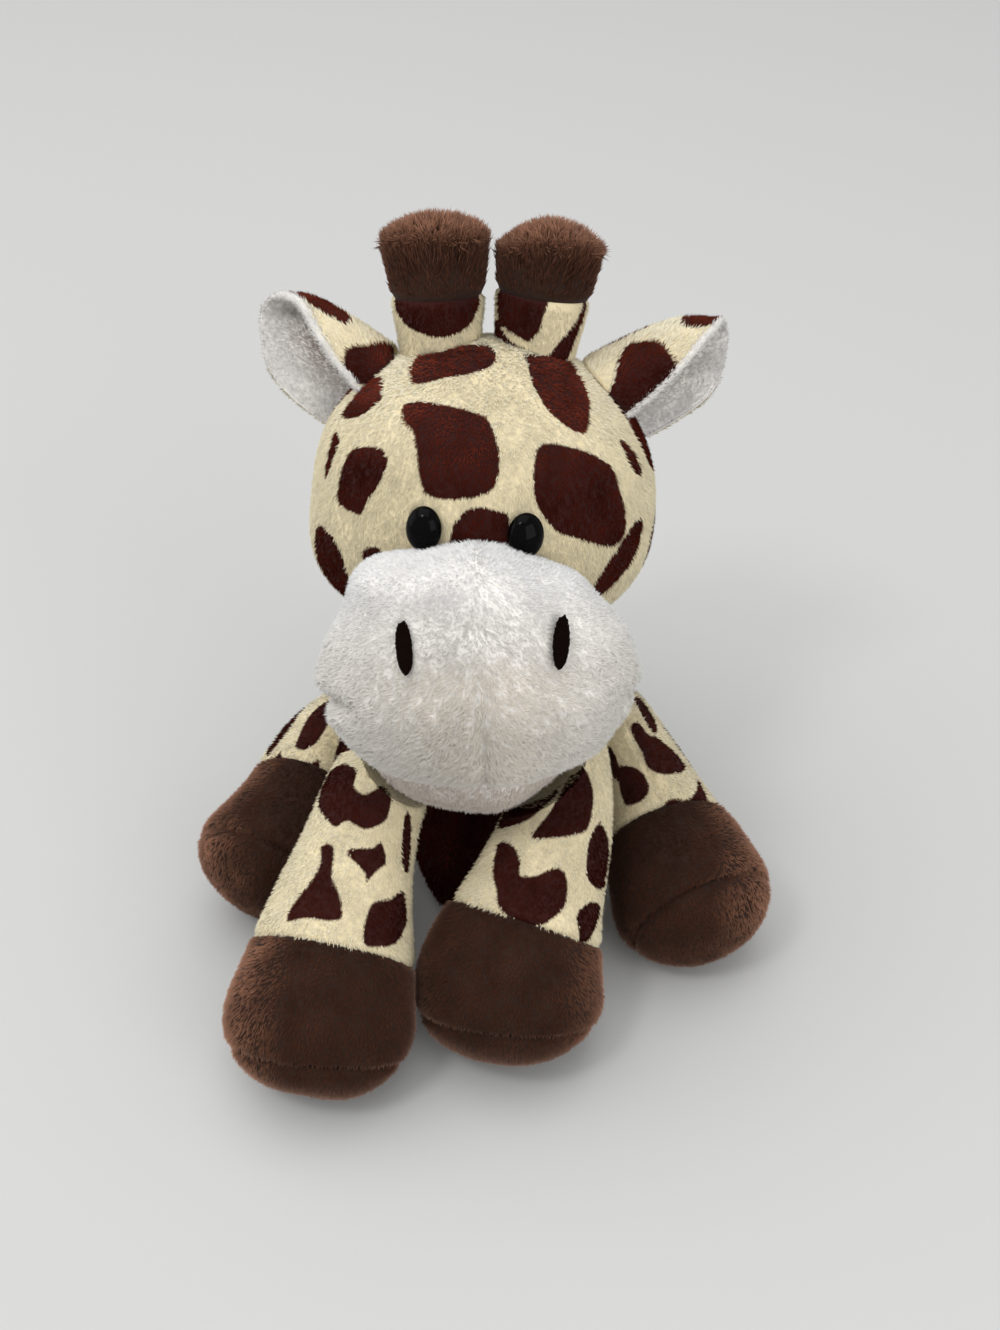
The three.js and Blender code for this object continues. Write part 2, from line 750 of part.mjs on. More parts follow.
// The origin is the middle of the box, on the floor.
const giraffe = new THREE.Group();
for (const { name, solid, finish } of pieces) {
  const { vertProperties, triVerts } = solid.getMesh();
  const geometry = new THREE.BufferGeometry();
  geometry.setAttribute("position", new THREE.BufferAttribute(vertProperties, 3));
  geometry.setIndex(new THREE.BufferAttribute(triVerts, 1));
  geometry.computeVertexNormals();
  const mesh = new THREE.Mesh(geometry, finishes[finish]);
  mesh.name = name;
  giraffe.add(mesh);
}
const box = new THREE.Box3().setFromObject(giraffe);
const middle = box.getCenter(vector(0, 0, 0));
giraffe.position.set(-middle.x, -middle.y, -box.min.z);

export default giraffe;
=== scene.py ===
import json
import bpy
import numpy as np
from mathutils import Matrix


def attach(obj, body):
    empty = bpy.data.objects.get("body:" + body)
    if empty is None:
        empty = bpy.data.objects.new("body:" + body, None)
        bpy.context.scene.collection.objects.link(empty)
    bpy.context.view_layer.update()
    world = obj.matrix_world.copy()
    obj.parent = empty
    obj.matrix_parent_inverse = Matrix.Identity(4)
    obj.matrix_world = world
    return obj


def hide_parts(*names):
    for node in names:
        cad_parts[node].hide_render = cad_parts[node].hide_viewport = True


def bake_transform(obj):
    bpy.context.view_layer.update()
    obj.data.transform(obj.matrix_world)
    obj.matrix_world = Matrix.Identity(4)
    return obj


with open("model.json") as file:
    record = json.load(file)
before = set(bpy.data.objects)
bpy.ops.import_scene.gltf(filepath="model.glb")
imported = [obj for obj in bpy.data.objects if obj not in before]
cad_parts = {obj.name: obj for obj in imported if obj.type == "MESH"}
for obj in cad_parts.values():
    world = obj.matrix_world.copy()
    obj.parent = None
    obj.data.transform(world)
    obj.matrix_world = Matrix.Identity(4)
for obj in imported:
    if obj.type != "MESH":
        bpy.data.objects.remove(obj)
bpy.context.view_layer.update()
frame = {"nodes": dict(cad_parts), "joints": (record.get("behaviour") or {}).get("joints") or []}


# Numbers in millimetres, in the toy's own frame


def turned(axis, degrees):
    # the 3x3 matrix of a turn about one axis
    c, s = np.cos(np.radians(degrees)), np.sin(np.radians(degrees))
    i, j = {"x": (1, 2), "y": (2, 0), "z": (0, 1)}[axis]
    matrix = np.eye(3)
    matrix[i, i] = matrix[j, j] = c
    matrix[i, j], matrix[j, i] = -s, s
    return matrix


def unit(v):
    # vectors divided by their lengths
    return v / np.maximum(np.linalg.norm(v, axis=-1, keepdims=True), 1e-9)


def dot(a, b):
    # the scalar product along the last axis, which stays
    return (a * b).sum(-1, keepdims=True)


def bell(x, middle, width):
    # e to the minus square of the distance from the middle over the width
    return np.exp(-((x - middle) / width) ** 2)


def ramp(x, start, run):
    # 0 up to a start, and evenly up to 1 over a run
    return np.clip((x - start) / run, 0, 1)


def cubicRun(start, end, leave, arrive, w):
    # the cubic between two values with the slopes that it leaves and arrives by
    cubic = 2 * start - 2 * end + leave + arrive
    square = 3 * end - 3 * start - 2 * leave - arrive
    return cubic * w**3 + square * w**2 + leave * w + start


def smoothRun(values, place):
    # a Catmull-Rom run through evenly spaced values, read at places from 0 to 1
    v = np.asarray(values, float)
    t = np.clip(place, 0, 1) * (len(v) - 1)
    i = np.minimum(t.astype(int), len(v) - 2)
    w = t - i
    before, start, end, after = v[np.maximum(i - 1, 0)], v[i], v[i + 1], v[np.minimum(i + 2, len(v) - 1)]
    return cubicRun(start, end, (end - before) / 2, (after - start) / 2, w)


def bentLine(knots, steps=20):
    # a centripetal Catmull-Rom line through a few knots
    k = np.asarray(knots, float)
    k = np.vstack([2 * k[0] - k[1], k, 2 * k[-1] - k[-2]])
    w = (np.arange(steps) / steps)[:, None]
    parts = []
    for a, b, c, d in zip(k, k[1:], k[2:], k[3:]):
        t0, t1, t2 = (np.linalg.norm(q - p) ** 0.5 for p, q in ((a, b), (b, c), (c, d)))
        leave = ((b - a) / t0 - (c - a) / (t0 + t1) + (c - b) / t1) * t1
        arrive = ((c - b) / t1 - (d - b) / (t1 + t2) + (d - c) / t2) * t1
        parts.append(cubicRun(b, c, leave, arrive, w))
    return np.vstack(parts + [k[-2][None]])


def softNoise(points, wavelength, seed):
    # a sum of seven plane sine waves in random directions, from about -1 to 1
    rng = np.random.default_rng(seed)
    waves = unit(rng.normal(size=(7, 3))) * (2 * np.pi / (wavelength * rng.uniform(0.7, 1.5, 7)))[:, None]
    return np.sin(points @ waves.T + rng.uniform(0, 2 * np.pi, 7)).sum(-1) / 3


headTurn = turned("x", -15) @ turned("y", 3)
headPlace = np.array([0, 0, 106.0])
neckPivot = next(j for j in frame["joints"] if j["name"] == "head_nod")["pos_m"]
neck = headTurn @ np.array([0, 3, -33.0]) + headPlace
toyOffset = np.array(neckPivot) * 1000 - neck


def onHead(place, lean, roll):
    # a frame in the head's, leaned about x and rolled about y
    return headTurn @ turned("x", lean) @ turned("y", roll), headTurn @ np.array(place, float) + headPlace


def metres(points):
    # the part's shared frame, in metres
    return (np.asarray(points) + toyOffset) / 1000


# Soft forms: a spine, and an oval girth that swells and rounds off along it


def softForm(spine, across, deep, shares, rounds, fullness=2.0, place=(np.eye(3), np.zeros(3)), inset=0.0):
    # a spine's samples, its slopes and arc, and the widths, shares, round ends and frame of the girth round it
    line = np.asarray(spine, float)
    if len(line) == 2:
        line = line[0] + np.linspace(0, 1, 21)[:, None] * (line[1] - line[0])
    arc = np.concatenate([[0], np.cumsum(np.linalg.norm(np.diff(line, axis=0), axis=1))])
    slope = unit(np.gradient(line, arc, axis=0))
    return {"line": line, "arc": arc, "slope": slope, "length": arc[-1], "across": across, "deep": deep,
            "shares": shares, "rounds": rounds, "fullness": fullness, "place": place, "inset": inset}


def swellOf(form, share):
    # the girth's share of its full width: a smooth run, rounded off as a superellipse at both ends
    swell = smoothRun(form["shares"], share)
    for s, span in ((share, form["rounds"][0]), (1 - share, form["rounds"][1])):
        if span:
            left = np.clip(1 - s / span, 0, 1)
            swell = swell * (1 - left ** form["fullness"]) ** (1 / form["fullness"])
    return swell


def sidesOf(along):
    # two ways square to a spine: level and across, and the cross product of the two
    side = unit(np.array([1.0, 0, 0]) - along * along[..., :1])
    return side, np.cross(side, along)


def localTo(form, points):
    # places in a form's own frame
    turn, place = form["place"]
    return (points - place) @ turn


def runAt(form, label, at):
    # the spine's places or slopes at lengths along it
    return np.stack([np.interp(at, form["arc"], c) for c in form[label].T], -1)


def formPoints(form, share, angle, grow=0.0):
    # the spine's point at a share, plus an oval of the girth there, in the plane square to the spine
    share, angle = np.broadcast_arrays(np.asarray(share, float), np.radians(angle))
    at = share * form["length"]
    centre = runAt(form, "line", at)
    side, up = sidesOf(unit(runAt(form, "slope", at)))
    swell = swellOf(form, share)
    grow = grow - form["inset"]
    points = centre + side * ((form["across"] / 2 + grow) * swell * np.cos(angle))[..., None]
    points = points + up * ((form["deep"] / 2 + grow) * swell * np.sin(angle))[..., None]
    turn, place = form["place"]
    return points @ turn.T + place


def nearestOn(form, points):
    # the nearest spine sample, moved along its slope to the foot of the perpendicular
    local = localTo(form, points)
    gaps = ((local[:, None] - form["line"][None]) ** 2).sum(-1)
    i = gaps.argmin(1)
    slope = form["slope"][i]
    extra = dot(local - form["line"][i], slope)
    share = (form["arc"][i] + extra[:, 0]) / form["length"]
    return share, form["line"][i] + slope * extra, local, slope


def ratioIn(form, points, grow):
    # the distance from the spine over the girth there: below 1 is inside
    share, centre, local, slope = nearestOn(form, points)
    side, up = sidesOf(slope)
    off = local - centre
    grow = grow - form["inset"]
    x = dot(off, side)[:, 0] / (form["across"] / 2 + grow)
    y = dot(off, up)[:, 0] / (form["deep"] / 2 + grow)
    spare = grow / form["length"]
    inner = (share + spare) / (1 + 2 * spare)
    ratio = np.hypot(x, y) / np.maximum(swellOf(form, np.clip(inner, 0, 1)), 1e-3)
    return np.where((inner < 0) | (inner > 1), 9, ratio)


def pushedOut(points, form, gap, core=(0.5, 0.5)):
    # each point inside a form moves away from the form's core until it is outside by the gap
    shape = points.shape
    flat = points.reshape(-1, 3).copy()
    inside = np.flatnonzero(ratioIn(form, flat, gap) < 1)
    if len(inside):
        p = flat[inside]
        share = np.clip(nearestOn(form, p)[0], *core) * form["length"]
        turn, place = form["place"]
        anchor = runAt(form, "line", share) @ turn.T + place
        way = unit(p - anchor)
        low = np.linalg.norm(p - anchor, axis=1)
        high = low + form["across"] + form["deep"]
        for _ in range(12):
            middle = (low + high) / 2
            within = ratioIn(form, anchor + way * middle[:, None], gap) < 1
            low, high = np.where(within, middle, low), np.where(within, high, middle)
        flat[inside] = anchor + way * high[:, None]
    return flat.reshape(shape)


def clearOf(points, *pushes):
    # points pushed out of one form after another
    for push in pushes:
        points = pushedOut(points, *push)
    return points


def shareRows(form, low, high, rows):
    # shares with the same length of outline between them
    fine = low + (high - low) * (1 - np.cos(np.linspace(0, np.pi, 900))) / 2
    girth = swellOf(form, fine) * (form["across"] + form["deep"]) / 4
    run = np.concatenate([[0], np.cumsum(np.hypot(np.diff(fine) * form["length"], np.diff(girth)))])
    return np.interp(np.linspace(0, run[-1], rows), run, fine)


def chartHeights(form, share):
    # millimetres along the cloth from the form's start, on its front line
    fine = np.linspace(0, 1, 601)
    line = formPoints(form, fine, 90, 1.5)
    run = np.concatenate([[0], np.cumsum(np.linalg.norm(np.diff(line, axis=0), axis=1))])
    return np.interp(share, fine, run)


def gridNormals(points):
    # the cross product of the two ways along the grid, which closes round its columns
    across = np.roll(points, -1, 1) - np.roll(points, 1, 1)
    along = np.gradient(points, axis=0)
    normal = unit(np.cross(across, along))
    outward = (normal * (points - points.mean(1, keepdims=True))).sum()
    return normal if outward > 0 else -normal


def coverGrid(form, low, high, rows, columns, sculpt, rounded=(True, True)):
    # rings along a form between two shares, without the ends where the girth is nothing, moved by the sculpt
    share = shareRows(form, low, high, rows)[(1 if rounded[0] else 0):(-1 if rounded[1] else None)]
    share, angle = np.meshgrid(share, np.arange(columns) * 360 / columns, indexing="ij")
    grid = {"share": share, "angle": angle, "height": chartHeights(form, share)}
    grid["points"] = formPoints(form, share, angle)
    grid["normals"] = gridNormals(grid["points"])
    grid["points"] = sculpt(grid)
    grid["normals"] = gridNormals(grid["points"])
    poles = np.stack([grid["points"][0].mean(0), grid["points"][-1].mean(0)])
    for i, isRound in enumerate(rounded):
        if isRound:
            ring = grid["points"][-i]
            poles[i] += grid["normals"][-i].mean(0) * 0.25 * np.linalg.norm(ring - poles[i], axis=1).mean()
    grid["poles"] = poles
    return grid


def gridFaces(rows, columns, ends="poles"):
    # quads round the rings, with a fan to each pole, or strips that close a folded sheet's two ends
    i, j = np.meshgrid(np.arange(rows - 1), np.arange(columns), indexing="ij")
    k = (j + 1) % columns
    quads = np.stack([i * columns + j, i * columns + k, (i + 1) * columns + k, (i + 1) * columns + j], -1)
    quads = quads.reshape(-1, 4)
    if ends == "poles":
        j = np.arange(columns)
        k = (j + 1) % columns
        top = (rows - 1) * columns
        low = np.stack([k, j, np.full(columns, rows * columns)], -1)
        high = np.stack([top + j, top + k, np.full(columns, rows * columns + 1)], -1)
        return [quads, np.vstack([low, high])]
    j = np.arange(columns // 2 - 1)
    strip = np.stack([j + 1, j, columns - 1 - j, columns - 2 - j], -1)
    top = strip[:, ::-1] + (rows - 1) * columns
    return [np.vstack([quads, strip, top])]


def outwardFaces(points, faceSets):
    # flips every face where the signed volume is negative
    volume = 0
    for faces in faceSets:
        a = points[faces[:, 0]]
        for n in range(1, faces.shape[1] - 1):
            volume += (a * np.cross(points[faces[:, n]], points[faces[:, n + 1]])).sum()
    return faceSets if volume > 0 else [faces[:, ::-1] for faces in faceSets]


# Blender pieces


def makePiece(name, points, faceSets, material, fields=None, colours=None, normals=None, uv=None):
    # a smooth mesh at the origin, with its point values, colours, own normals and texture places
    mesh = bpy.data.meshes.new(name)
    mesh.vertices.add(len(points))
    mesh.vertices.foreach_set("co", metres(points).astype(np.float32).ravel())
    corners = np.concatenate([faces.ravel() for faces in faceSets]).astype(np.int32)
    sizes = np.concatenate([np.full(len(faces), faces.shape[1]) for faces in faceSets])
    starts = np.concatenate([[0], np.cumsum(sizes)[:-1]]).astype(np.int32)
    mesh.loops.add(len(corners))
    mesh.loops.foreach_set("vertex_index", corners)
    mesh.polygons.add(len(sizes))
    mesh.polygons.foreach_set("loop_start", starts)
    mesh.update(calc_edges=True)
    mesh.polygons.foreach_set("use_smooth", np.ones(len(sizes), bool))
    for label, values in (fields or {}).items():
        mesh.attributes.new(label, "FLOAT", "POINT").data.foreach_set("value", values.astype(np.float32))
    if colours is not None:
        rgba = np.column_stack([colours, np.ones(len(colours))]).astype(np.float32)
        mesh.attributes.new("Colour", "FLOAT_COLOR", "POINT").data.foreach_set("color", rgba.ravel())
    if uv is not None:
        mesh.uv_layers.new(name="OFBake").data.foreach_set("uv", uv.astype(np.float32).ravel())
    if normals is not None:
        mesh.normals_split_custom_set_from_vertices(normals.astype(np.float32))
    mesh.materials.append(material)
    piece = bpy.data.objects.new(name, mesh)
    bpy.context.scene.collection.objects.link(piece)
    return piece


def linear(r, g, b):
    # a colour written as screen values from 0 to 255, in linear light
    c = np.array([r, g, b]) / 255
    return np.where(c <= 0.04045, c / 12.92, ((c + 0.055) / 1.055) ** 2.4)


colour = {
    "cream": linear(229, 214, 176),
    "creamTip": linear(242, 230, 197),
    "patch": linear(52, 17, 12),
    "patchTip": linear(70, 25, 16),
    "patchLit": linear(116, 52, 37),
    "brown": linear(48, 29, 20),
    "brownTip": linear(76, 46, 33),
    "hornTip": linear(138, 97, 76),
    "white": linear(236, 232, 226),
    "whiteTip": linear(250, 249, 247),
}


def addNode(tree, kind, settings=None, inputs=None):
    # a node with its settings and socket values
    node = tree.nodes.new(kind)
    for key, value in (settings or {}).items():
        setattr(node, key, value)
    for key, value in (inputs or {}).items():
        node.inputs[key].default_value = value
    return node


def mixNodes(tree, factor, first, second):
    # a mix of two colours by a factor
    mix = addNode(tree, "ShaderNodeMix", {"data_type": "RGBA"}, {6: (*first, 1), 7: (*second, 1)})
    tree.links.new(factor, mix.inputs["Factor"])
    return mix.outputs[2]


def bumpNodes(tree, shader, height, strength, distance):
    # a relief under the shader's normal
    relief = addNode(tree, "ShaderNodeBump", None, {"Strength": strength, "Distance": distance})
    tree.links.new(height, relief.inputs["Height"])
    tree.links.new(relief.outputs["Normal"], shader.inputs["Normal"])


def newMaterial(name, sockets):
    # a material with the values of its shader's sockets
    material = bpy.data.materials.new(name)
    material.use_nodes = True
    shader = material.node_tree.nodes["Principled BSDF"]
    for key, value in sockets.items():
        shader.inputs[key].default_value = value
    return material, material.node_tree, shader


def clothMaterial(name, light, dark, roughness=0.9, sheen=0.25, tone=0.18, bump=0.0004, grain=900.0,
                  source="Colour", sheenTint=(1, 1, 1), shine=0.2):
    # the base is a vertex colour, or a ramp over a print's depth, darkened and lightened by two noises
    material, tree, shader = newMaterial(name, {
        "Roughness": roughness, "Sheen Weight": sheen, "Sheen Roughness": 0.4, "Sheen Tint": (*sheenTint, 1),
        "Specular IOR Level": shine})
    link = tree.links.new
    place = addNode(tree, "ShaderNodeTexCoord")
    attribute = addNode(tree, "ShaderNodeAttribute", {"attribute_name": source})
    base = attribute.outputs["Color"]
    if source != "Colour":
        ramp = addNode(tree, "ShaderNodeMapRange", None, {"From Min": -0.35, "From Max": 0.35})
        link(attribute.outputs["Fac"], ramp.inputs["Value"])
        base = mixNodes(tree, ramp.outputs["Result"], light, dark)
    broad = addNode(tree, "ShaderNodeTexNoise", None, {"Scale": 120.0, "Detail": 4.0})
    link(place.outputs["Object"], broad.inputs["Vector"])
    shade = addNode(tree, "ShaderNodeMapRange", None,
                    {"To Min": 1 - tone, "To Max": 1 + tone, "From Min": 0.3, "From Max": 0.7})
    link(broad.outputs["Fac"], shade.inputs["Value"])
    tint = addNode(tree, "ShaderNodeVectorMath", {"operation": "SCALE"})
    link(base, tint.inputs[0])
    link(shade.outputs["Result"], tint.inputs["Scale"])
    link(tint.outputs["Vector"], shader.inputs["Base Color"])
    if bump:
        fine = addNode(tree, "ShaderNodeTexNoise", None, {"Scale": grain, "Detail": 3.0})
        link(place.outputs["Object"], fine.inputs["Vector"])
        bumpNodes(tree, shader, fine.outputs["Fac"], 0.6, bump)
    return material


printCloth = clothMaterial("printed_cloth", colour["cream"] * 0.8, colour["patch"] * 0.8, source="Print",
                           sheen=0.05)
brownCloth = clothMaterial("brown_cloth", colour["brown"] * 0.8, colour["brown"] * 0.7, source="Print", sheen=0.05)
whiteCloth = clothMaterial("white_cloth", colour["white"] * 0.8, colour["white"] * 0.7, source="Print")
printPile = clothMaterial("printed_pile", None, None, tone=0.05, bump=0, sheen=0.0, shine=0.02)
brownPile = clothMaterial("brown_pile", None, None, tone=0.1, bump=0, sheen=0.7, sheenTint=(0.5, 0.31, 0.23),
                          shine=0.06)
whitePile = clothMaterial("white_pile", None, None, tone=0.04, bump=0)
plush = {"printed": ("printed_plush", printCloth, printPile), "brown": ("brown_plush", brownCloth, brownPile),
         "white": ("white_plush", whiteCloth, whitePile)}


# Print: patches as outlines in degrees round a form and millimetres along it


# millimetres to a degree round each form
perDegree = {"head": 0.7, "horn": 0.19, "ear": 0.19, "leg": 0.3, "torso": 0.5, "tail": 0.06}


def outlines(text):
    # a table of outlines: pairs of numbers between commas, and a semicolon after each outline
    return [np.array([pair.split() for pair in line.split(",")], float) for line in text.split(";")]


def rounded(outline, steps=5):
    # a closed Catmull-Rom line through an outline's corners
    w = (np.arange(steps) / steps)[:, None, None]
    before, after, beyond = (np.roll(outline, n, 0) for n in (1, -1, -2))
    line = cubicRun(outline, after, (after - before) / 2, (beyond - outline) / 2, w)
    return line.transpose(1, 0, 2).reshape(-1, 2)


def patchDepth(angle, height, patches, scale):
    # how far inside the nearest outline a chart's points lie, in millimetres, negative outside
    depth = np.full(angle.shape, -9.0)
    for outline in patches:
        line = outline.copy()
        line[:, 0] = np.unwrap(line[:, 0], period=360)
        line = rounded(line)
        middle = line[:, 0].mean()
        x = ((angle - middle + 180) % 360 - 180) * scale
        line = np.column_stack([(line[:, 0] - middle) * scale, line[:, 1]])
        near = (abs(x) < abs(line[:, 0]).max() + 2)
        near &= (height > line[:, 1].min() - 2) & (height < line[:, 1].max() + 2)
        if not near.any():
            continue
        p = np.column_stack([x[near], height[near]])
        a, b = line, np.roll(line, -1, 0)
        edge = b - a
        off = p[:, None] - a[None]
        t = np.clip((off * edge).sum(-1) / np.maximum((edge**2).sum(-1), 1e-9), 0, 1)
        gap = np.sqrt(((off - t[..., None] * edge) ** 2).sum(-1).min(1))
        rises = (a[:, 1] > p[:, 1:]) != (b[:, 1] > p[:, 1:])
        crossing = a[:, 0] + (p[:, 1:] - a[:, 1]) * edge[:, 0] / np.where(edge[:, 1] == 0, 1e-9, edge[:, 1])
        inside = (rises & (p[:, :1] < crossing)).sum(1) % 2 == 1
        depth[near] = np.maximum(depth[near], np.where(inside, gap, -gap))
    return depth


# Pile: thousands of closed pointed strands on a cover's cloth


def scatter(grid, density, seed):
    # places chosen by area over a grid's cells, and every field read there by bilinear mixing
    rng = np.random.default_rng(seed)
    points = grid["points"]
    rows, columns = points.shape[:2]
    after = np.roll(points, -1, 1)
    area = np.linalg.norm(np.cross(after[1:] - points[:-1], after[:-1] - points[1:]), axis=-1) / 2
    count = int(area.sum() * density)
    cell = rng.choice(area.size, count, p=(area / area.sum()).ravel())
    i, j = np.divmod(cell, columns)
    k = (j + 1) % columns
    u, v = rng.random((2, count))

    def read(field):
        # a field at the chosen places
        a, b, c, d = field[i, j], field[i, k], field[i + 1, j], field[i + 1, k]
        s, t = (u[:, None], v[:, None]) if field.ndim == 3 else (u, v)
        return (a * (1 - t) + b * t) * (1 - s) + (c * (1 - t) + d * t) * s
    spots = {"points": read(points), "normals": unit(read(grid["normals"])), "share": read(grid["share"])}
    spots["height"] = read(grid["height"])
    spots["angle"] = (j + v) * 360 / columns
    return spots


def kept(spots, mask):
    # the places that a mask keeps
    return {key: value[mask] for key, value in spots.items()}


def hiddenBy(spots, forms, gap):
    # the places within any of the forms, grown by a gap
    mask = np.zeros(len(spots["points"]), bool)
    for form in forms:
        mask |= ratioIn(form, spots["points"], gap) < 1
    return mask


def strandPiece(name, spots, comb, settings, tint, kind, seed, body=None):
    # each strand is a three-sided spike on the cloth, combed along the surface and bent down by its sag
    rng = np.random.default_rng(seed)
    look = {"clump": 7, "wander": 0.3, "mess": 0.2, "liftMess": 7, "rings": 1, "sag": 0.0, "tone": 0.07,
            "soft": 0.75, **settings}
    points, normals = spots["points"], spots["normals"]
    count, rings = len(points), look["rings"]
    stray = np.stack([softNoise(points, look["clump"], seed + n) for n in range(3)], -1)
    flow = unit(comb(spots) if callable(comb) else comb) + stray * spots.get("wander", look["wander"])
    flow = flow + rng.normal(size=(count, 3)) * look["mess"]
    flow = unit(flow - normals * dot(flow, normals))
    lift = np.radians(spots.get("lift", look.get("lift")) + rng.normal(size=count) * look["liftMess"])[:, None]
    way = flow * np.cos(lift) + normals * np.sin(lift)
    long = look["length"] * rng.uniform(0.75, 1.15, count)[:, None] * spots.get("grow", np.ones(count))[:, None]
    side = unit(np.cross(way, normals))
    up = np.cross(side, way)
    half = look["width"] / 2 * rng.uniform(0.8, 1.2, count)[:, None]
    base = points - normals * 0.3  # the root sits in the cloth
    bend = (flow - normals) * long * look["sag"]
    verts, shades, rounds = [], [], []
    for t in np.arange(rings) / rings:
        for x, y in ((0, 1), (-0.87, -0.5), (0.87, -0.5)):
            out = side * x + up * y
            verts.append(base + way * long * t + bend * t * t + out * half * (1 - 0.45 * t))
            shades.append(t)
            rounds.append(out)
    verts.append(base + way * long + bend)
    shades.append(1.0)
    rounds.append(way)
    each = len(verts)
    verts = np.stack(verts, 1)
    verts[..., 2] = np.maximum(verts[..., 2], 0.15 + 0.1 * np.array(shades))
    faces = []
    for low in range(0, 3 * rings - 3, 3):
        for a, b in ((0, 1), (1, 2), (2, 0)):
            faces += [(low + a, low + b, low + b + 3), (low + a, low + b + 3, low + a + 3)]
    faces += [(each - 4 + a, each - 4 + (a + 1) % 3, each - 1) for a in range(3)]
    faces.append((0, 2, 1))
    faces = np.array(faces)
    allFaces = (np.arange(count) * each)[:, None, None] + faces[None]
    a, b, c = verts[0][faces].transpose(1, 0, 2) - verts[0][0]
    inward = (a * np.cross(b, c)).sum() < 0
    if inward:
        allFaces = allFaces[..., ::-1]
    root, tip = tint(spots, base + way * long * 0.6) if callable(tint) else tint
    root, tip = np.broadcast_to(root, (count, 3)), np.broadcast_to(tip, (count, 3))
    tone = rng.normal(1, look["tone"], count)[:, None, None]
    t = np.array(shades)[None, :, None]
    # each strand runs from its root colour to its tip colour, and the roots are given darker: painted shade down in
    # the pile
    rgb = (root[:, None] * (1 - t) + tip[:, None] * t) * tone
    lean = np.stack(rounds, 1) * (1 - look["soft"]) + normals[:, None] * look["soft"]
    slotName, _, material = plush[kind]
    piece = makePiece(name, verts.reshape(-1, 3), [allFaces.reshape(-1, 3)], material,
                      colours=np.clip(rgb, 0, 1).reshape(-1, 3), normals=unit(lean).reshape(-1, 3),
                      uv=strandUv(count, rings, faces, inward))
    if body:
        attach(piece, body)
    return piece


def strandUv(count, rings, faces, flipped):
    # one square cell for each strand: its sides unrolled, and its base in the space between their tips
    columns = int(np.ceil(np.sqrt(count)))
    cell = np.arange(count)
    origin = np.column_stack([cell % columns, cell // columns])[:, None, None] / columns
    uv = np.zeros((len(faces), 3, 2))
    each = 3 * rings + 1
    step = 0.9 / rings
    for n, face in enumerate(faces[:-1]):
        first = min(v % 3 for v in face if v < each - 1)
        wraps = {v % 3 for v in face if v < each - 1} == {0, 2}
        for c, v in enumerate(face):
            if v == each - 1:
                left = 2 if wraps else first
                uv[n, c] = ((left + 0.5) / 3, 0.95)
            else:
                place = 3 if wraps and v % 3 == 0 else v % 3
                uv[n, c] = (place / 3, 0.05 + step * (v // 3))
    uv[-1] = [(1 / 3, 0.05 + step * (rings - 1) + 0.1), (0.47, 0.93), (0.2, 0.93)]
    uv = 0.04 + uv * 0.92
    if flipped:
        uv = uv[:, ::-1]
    return (origin + uv[None] / columns).reshape(-1, 2)


def chartOf(form, points):
    # degrees round a form and millimetres along it, for places near its surface
    share, centre, local, slope = nearestOn(form, points)
    side, up = sidesOf(slope)
    off = local - centre
    angle = np.degrees(np.arctan2(dot(off, up)[:, 0] / form["deep"], dot(off, side)[:, 0] / form["across"]))
    return angle, chartHeights(form, np.clip(share, 0, 1))


def printTintAndTopLight(form, patches, scale, seed, deep=1):
    # brown where the middle of a strand lies over a patch, whose edges are ragged by a fifth of a millimetre,
    # and painted light where the cloth faces up: lighter, redder patch tips and paler cream tips there
    def tint(spots, middles):
        rng = np.random.default_rng(seed)
        angle, height = chartOf(form, middles) if form else (spots["angle"], spots["height"])
        depth = patchDepth(angle, height, patches, scale)
        isDark = (depth + rng.normal(0, 0.16, len(depth)) > 0)[:, None]
        # roots darker than the tips: painted shade down in the pile
        root = np.where(isDark, colour["patch"] * 0.6, colour["cream"] * 0.74)
        # painted light: the more the cloth faces up, the lighter and redder the patch tips and the paler the cream
        # tips
        up = ramp(spots["normals"][:, 2:], 0.54, 0.42)
        dark = (colour["patchTip"] * (1 - up) + colour["patchLit"] * up) * deep
        dark = dark * (1.1 + 0.3 * softNoise(middles, 9, 72)[:, None])
        cream = colour["creamTip"] * (1 - 0.6 * up) + linear(254, 248, 230) * 0.6 * up
        return root, np.where(isDark, dark, cream)
    return tint


# brown roots darker than the tips: painted shade down in the pile
brownRoot = colour["brown"] * 0.6


def hoofTintAndRimLight(spots, middles):
    # tips lighter and darker in soft blotches, and painted rim light: lighter and redder low down near the floor,
    # and paler where a side faces outward
    low = np.clip((8 - middles[:, 2:]) / 8, 0, 1) * 0.6
    # painted rim light on the outward sides, in the horn tips' lighter colour
    low = np.maximum(low, np.clip(spots["normals"][:, :1] * np.clip(middles[:, :1] / 45, -1, 1) - 0.2, 0, 0.8) * 2.6)
    tip = colour["brownTip"] * (1 - low) + colour["hornTip"] * low
    return brownRoot, tip * (1 + 0.17 * softNoise(middles, 9, 71)[:, None])


def coverPiece(name, grid, kind, nodes, body=None, patches=(), scale=1.0):
    # a padded cover closed at its two poles, in place of CAD nodes, with its depth in the print as a field
    points = onFloor(np.vstack([grid["points"].reshape(-1, 3), grid["poles"]]))
    faces = outwardFaces(points, gridFaces(*grid["share"].shape))
    depth = patchDepth(grid["angle"], grid["height"], patches, scale)
    depth = np.concatenate([depth.ravel(), [depth[0].mean(), depth[-1].mean()]])
    piece = makePiece(name, points, faces, plush[kind][1], {"Print": depth})
    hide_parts(*nodes)
    if body:
        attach(piece, body)
    return piece


def onFloor(points, height=0.05):
    # nothing reaches below the floor
    points = points.copy()
    points[..., 2] = np.maximum(points[..., 2], height)
    return points


# Camera, light and floor

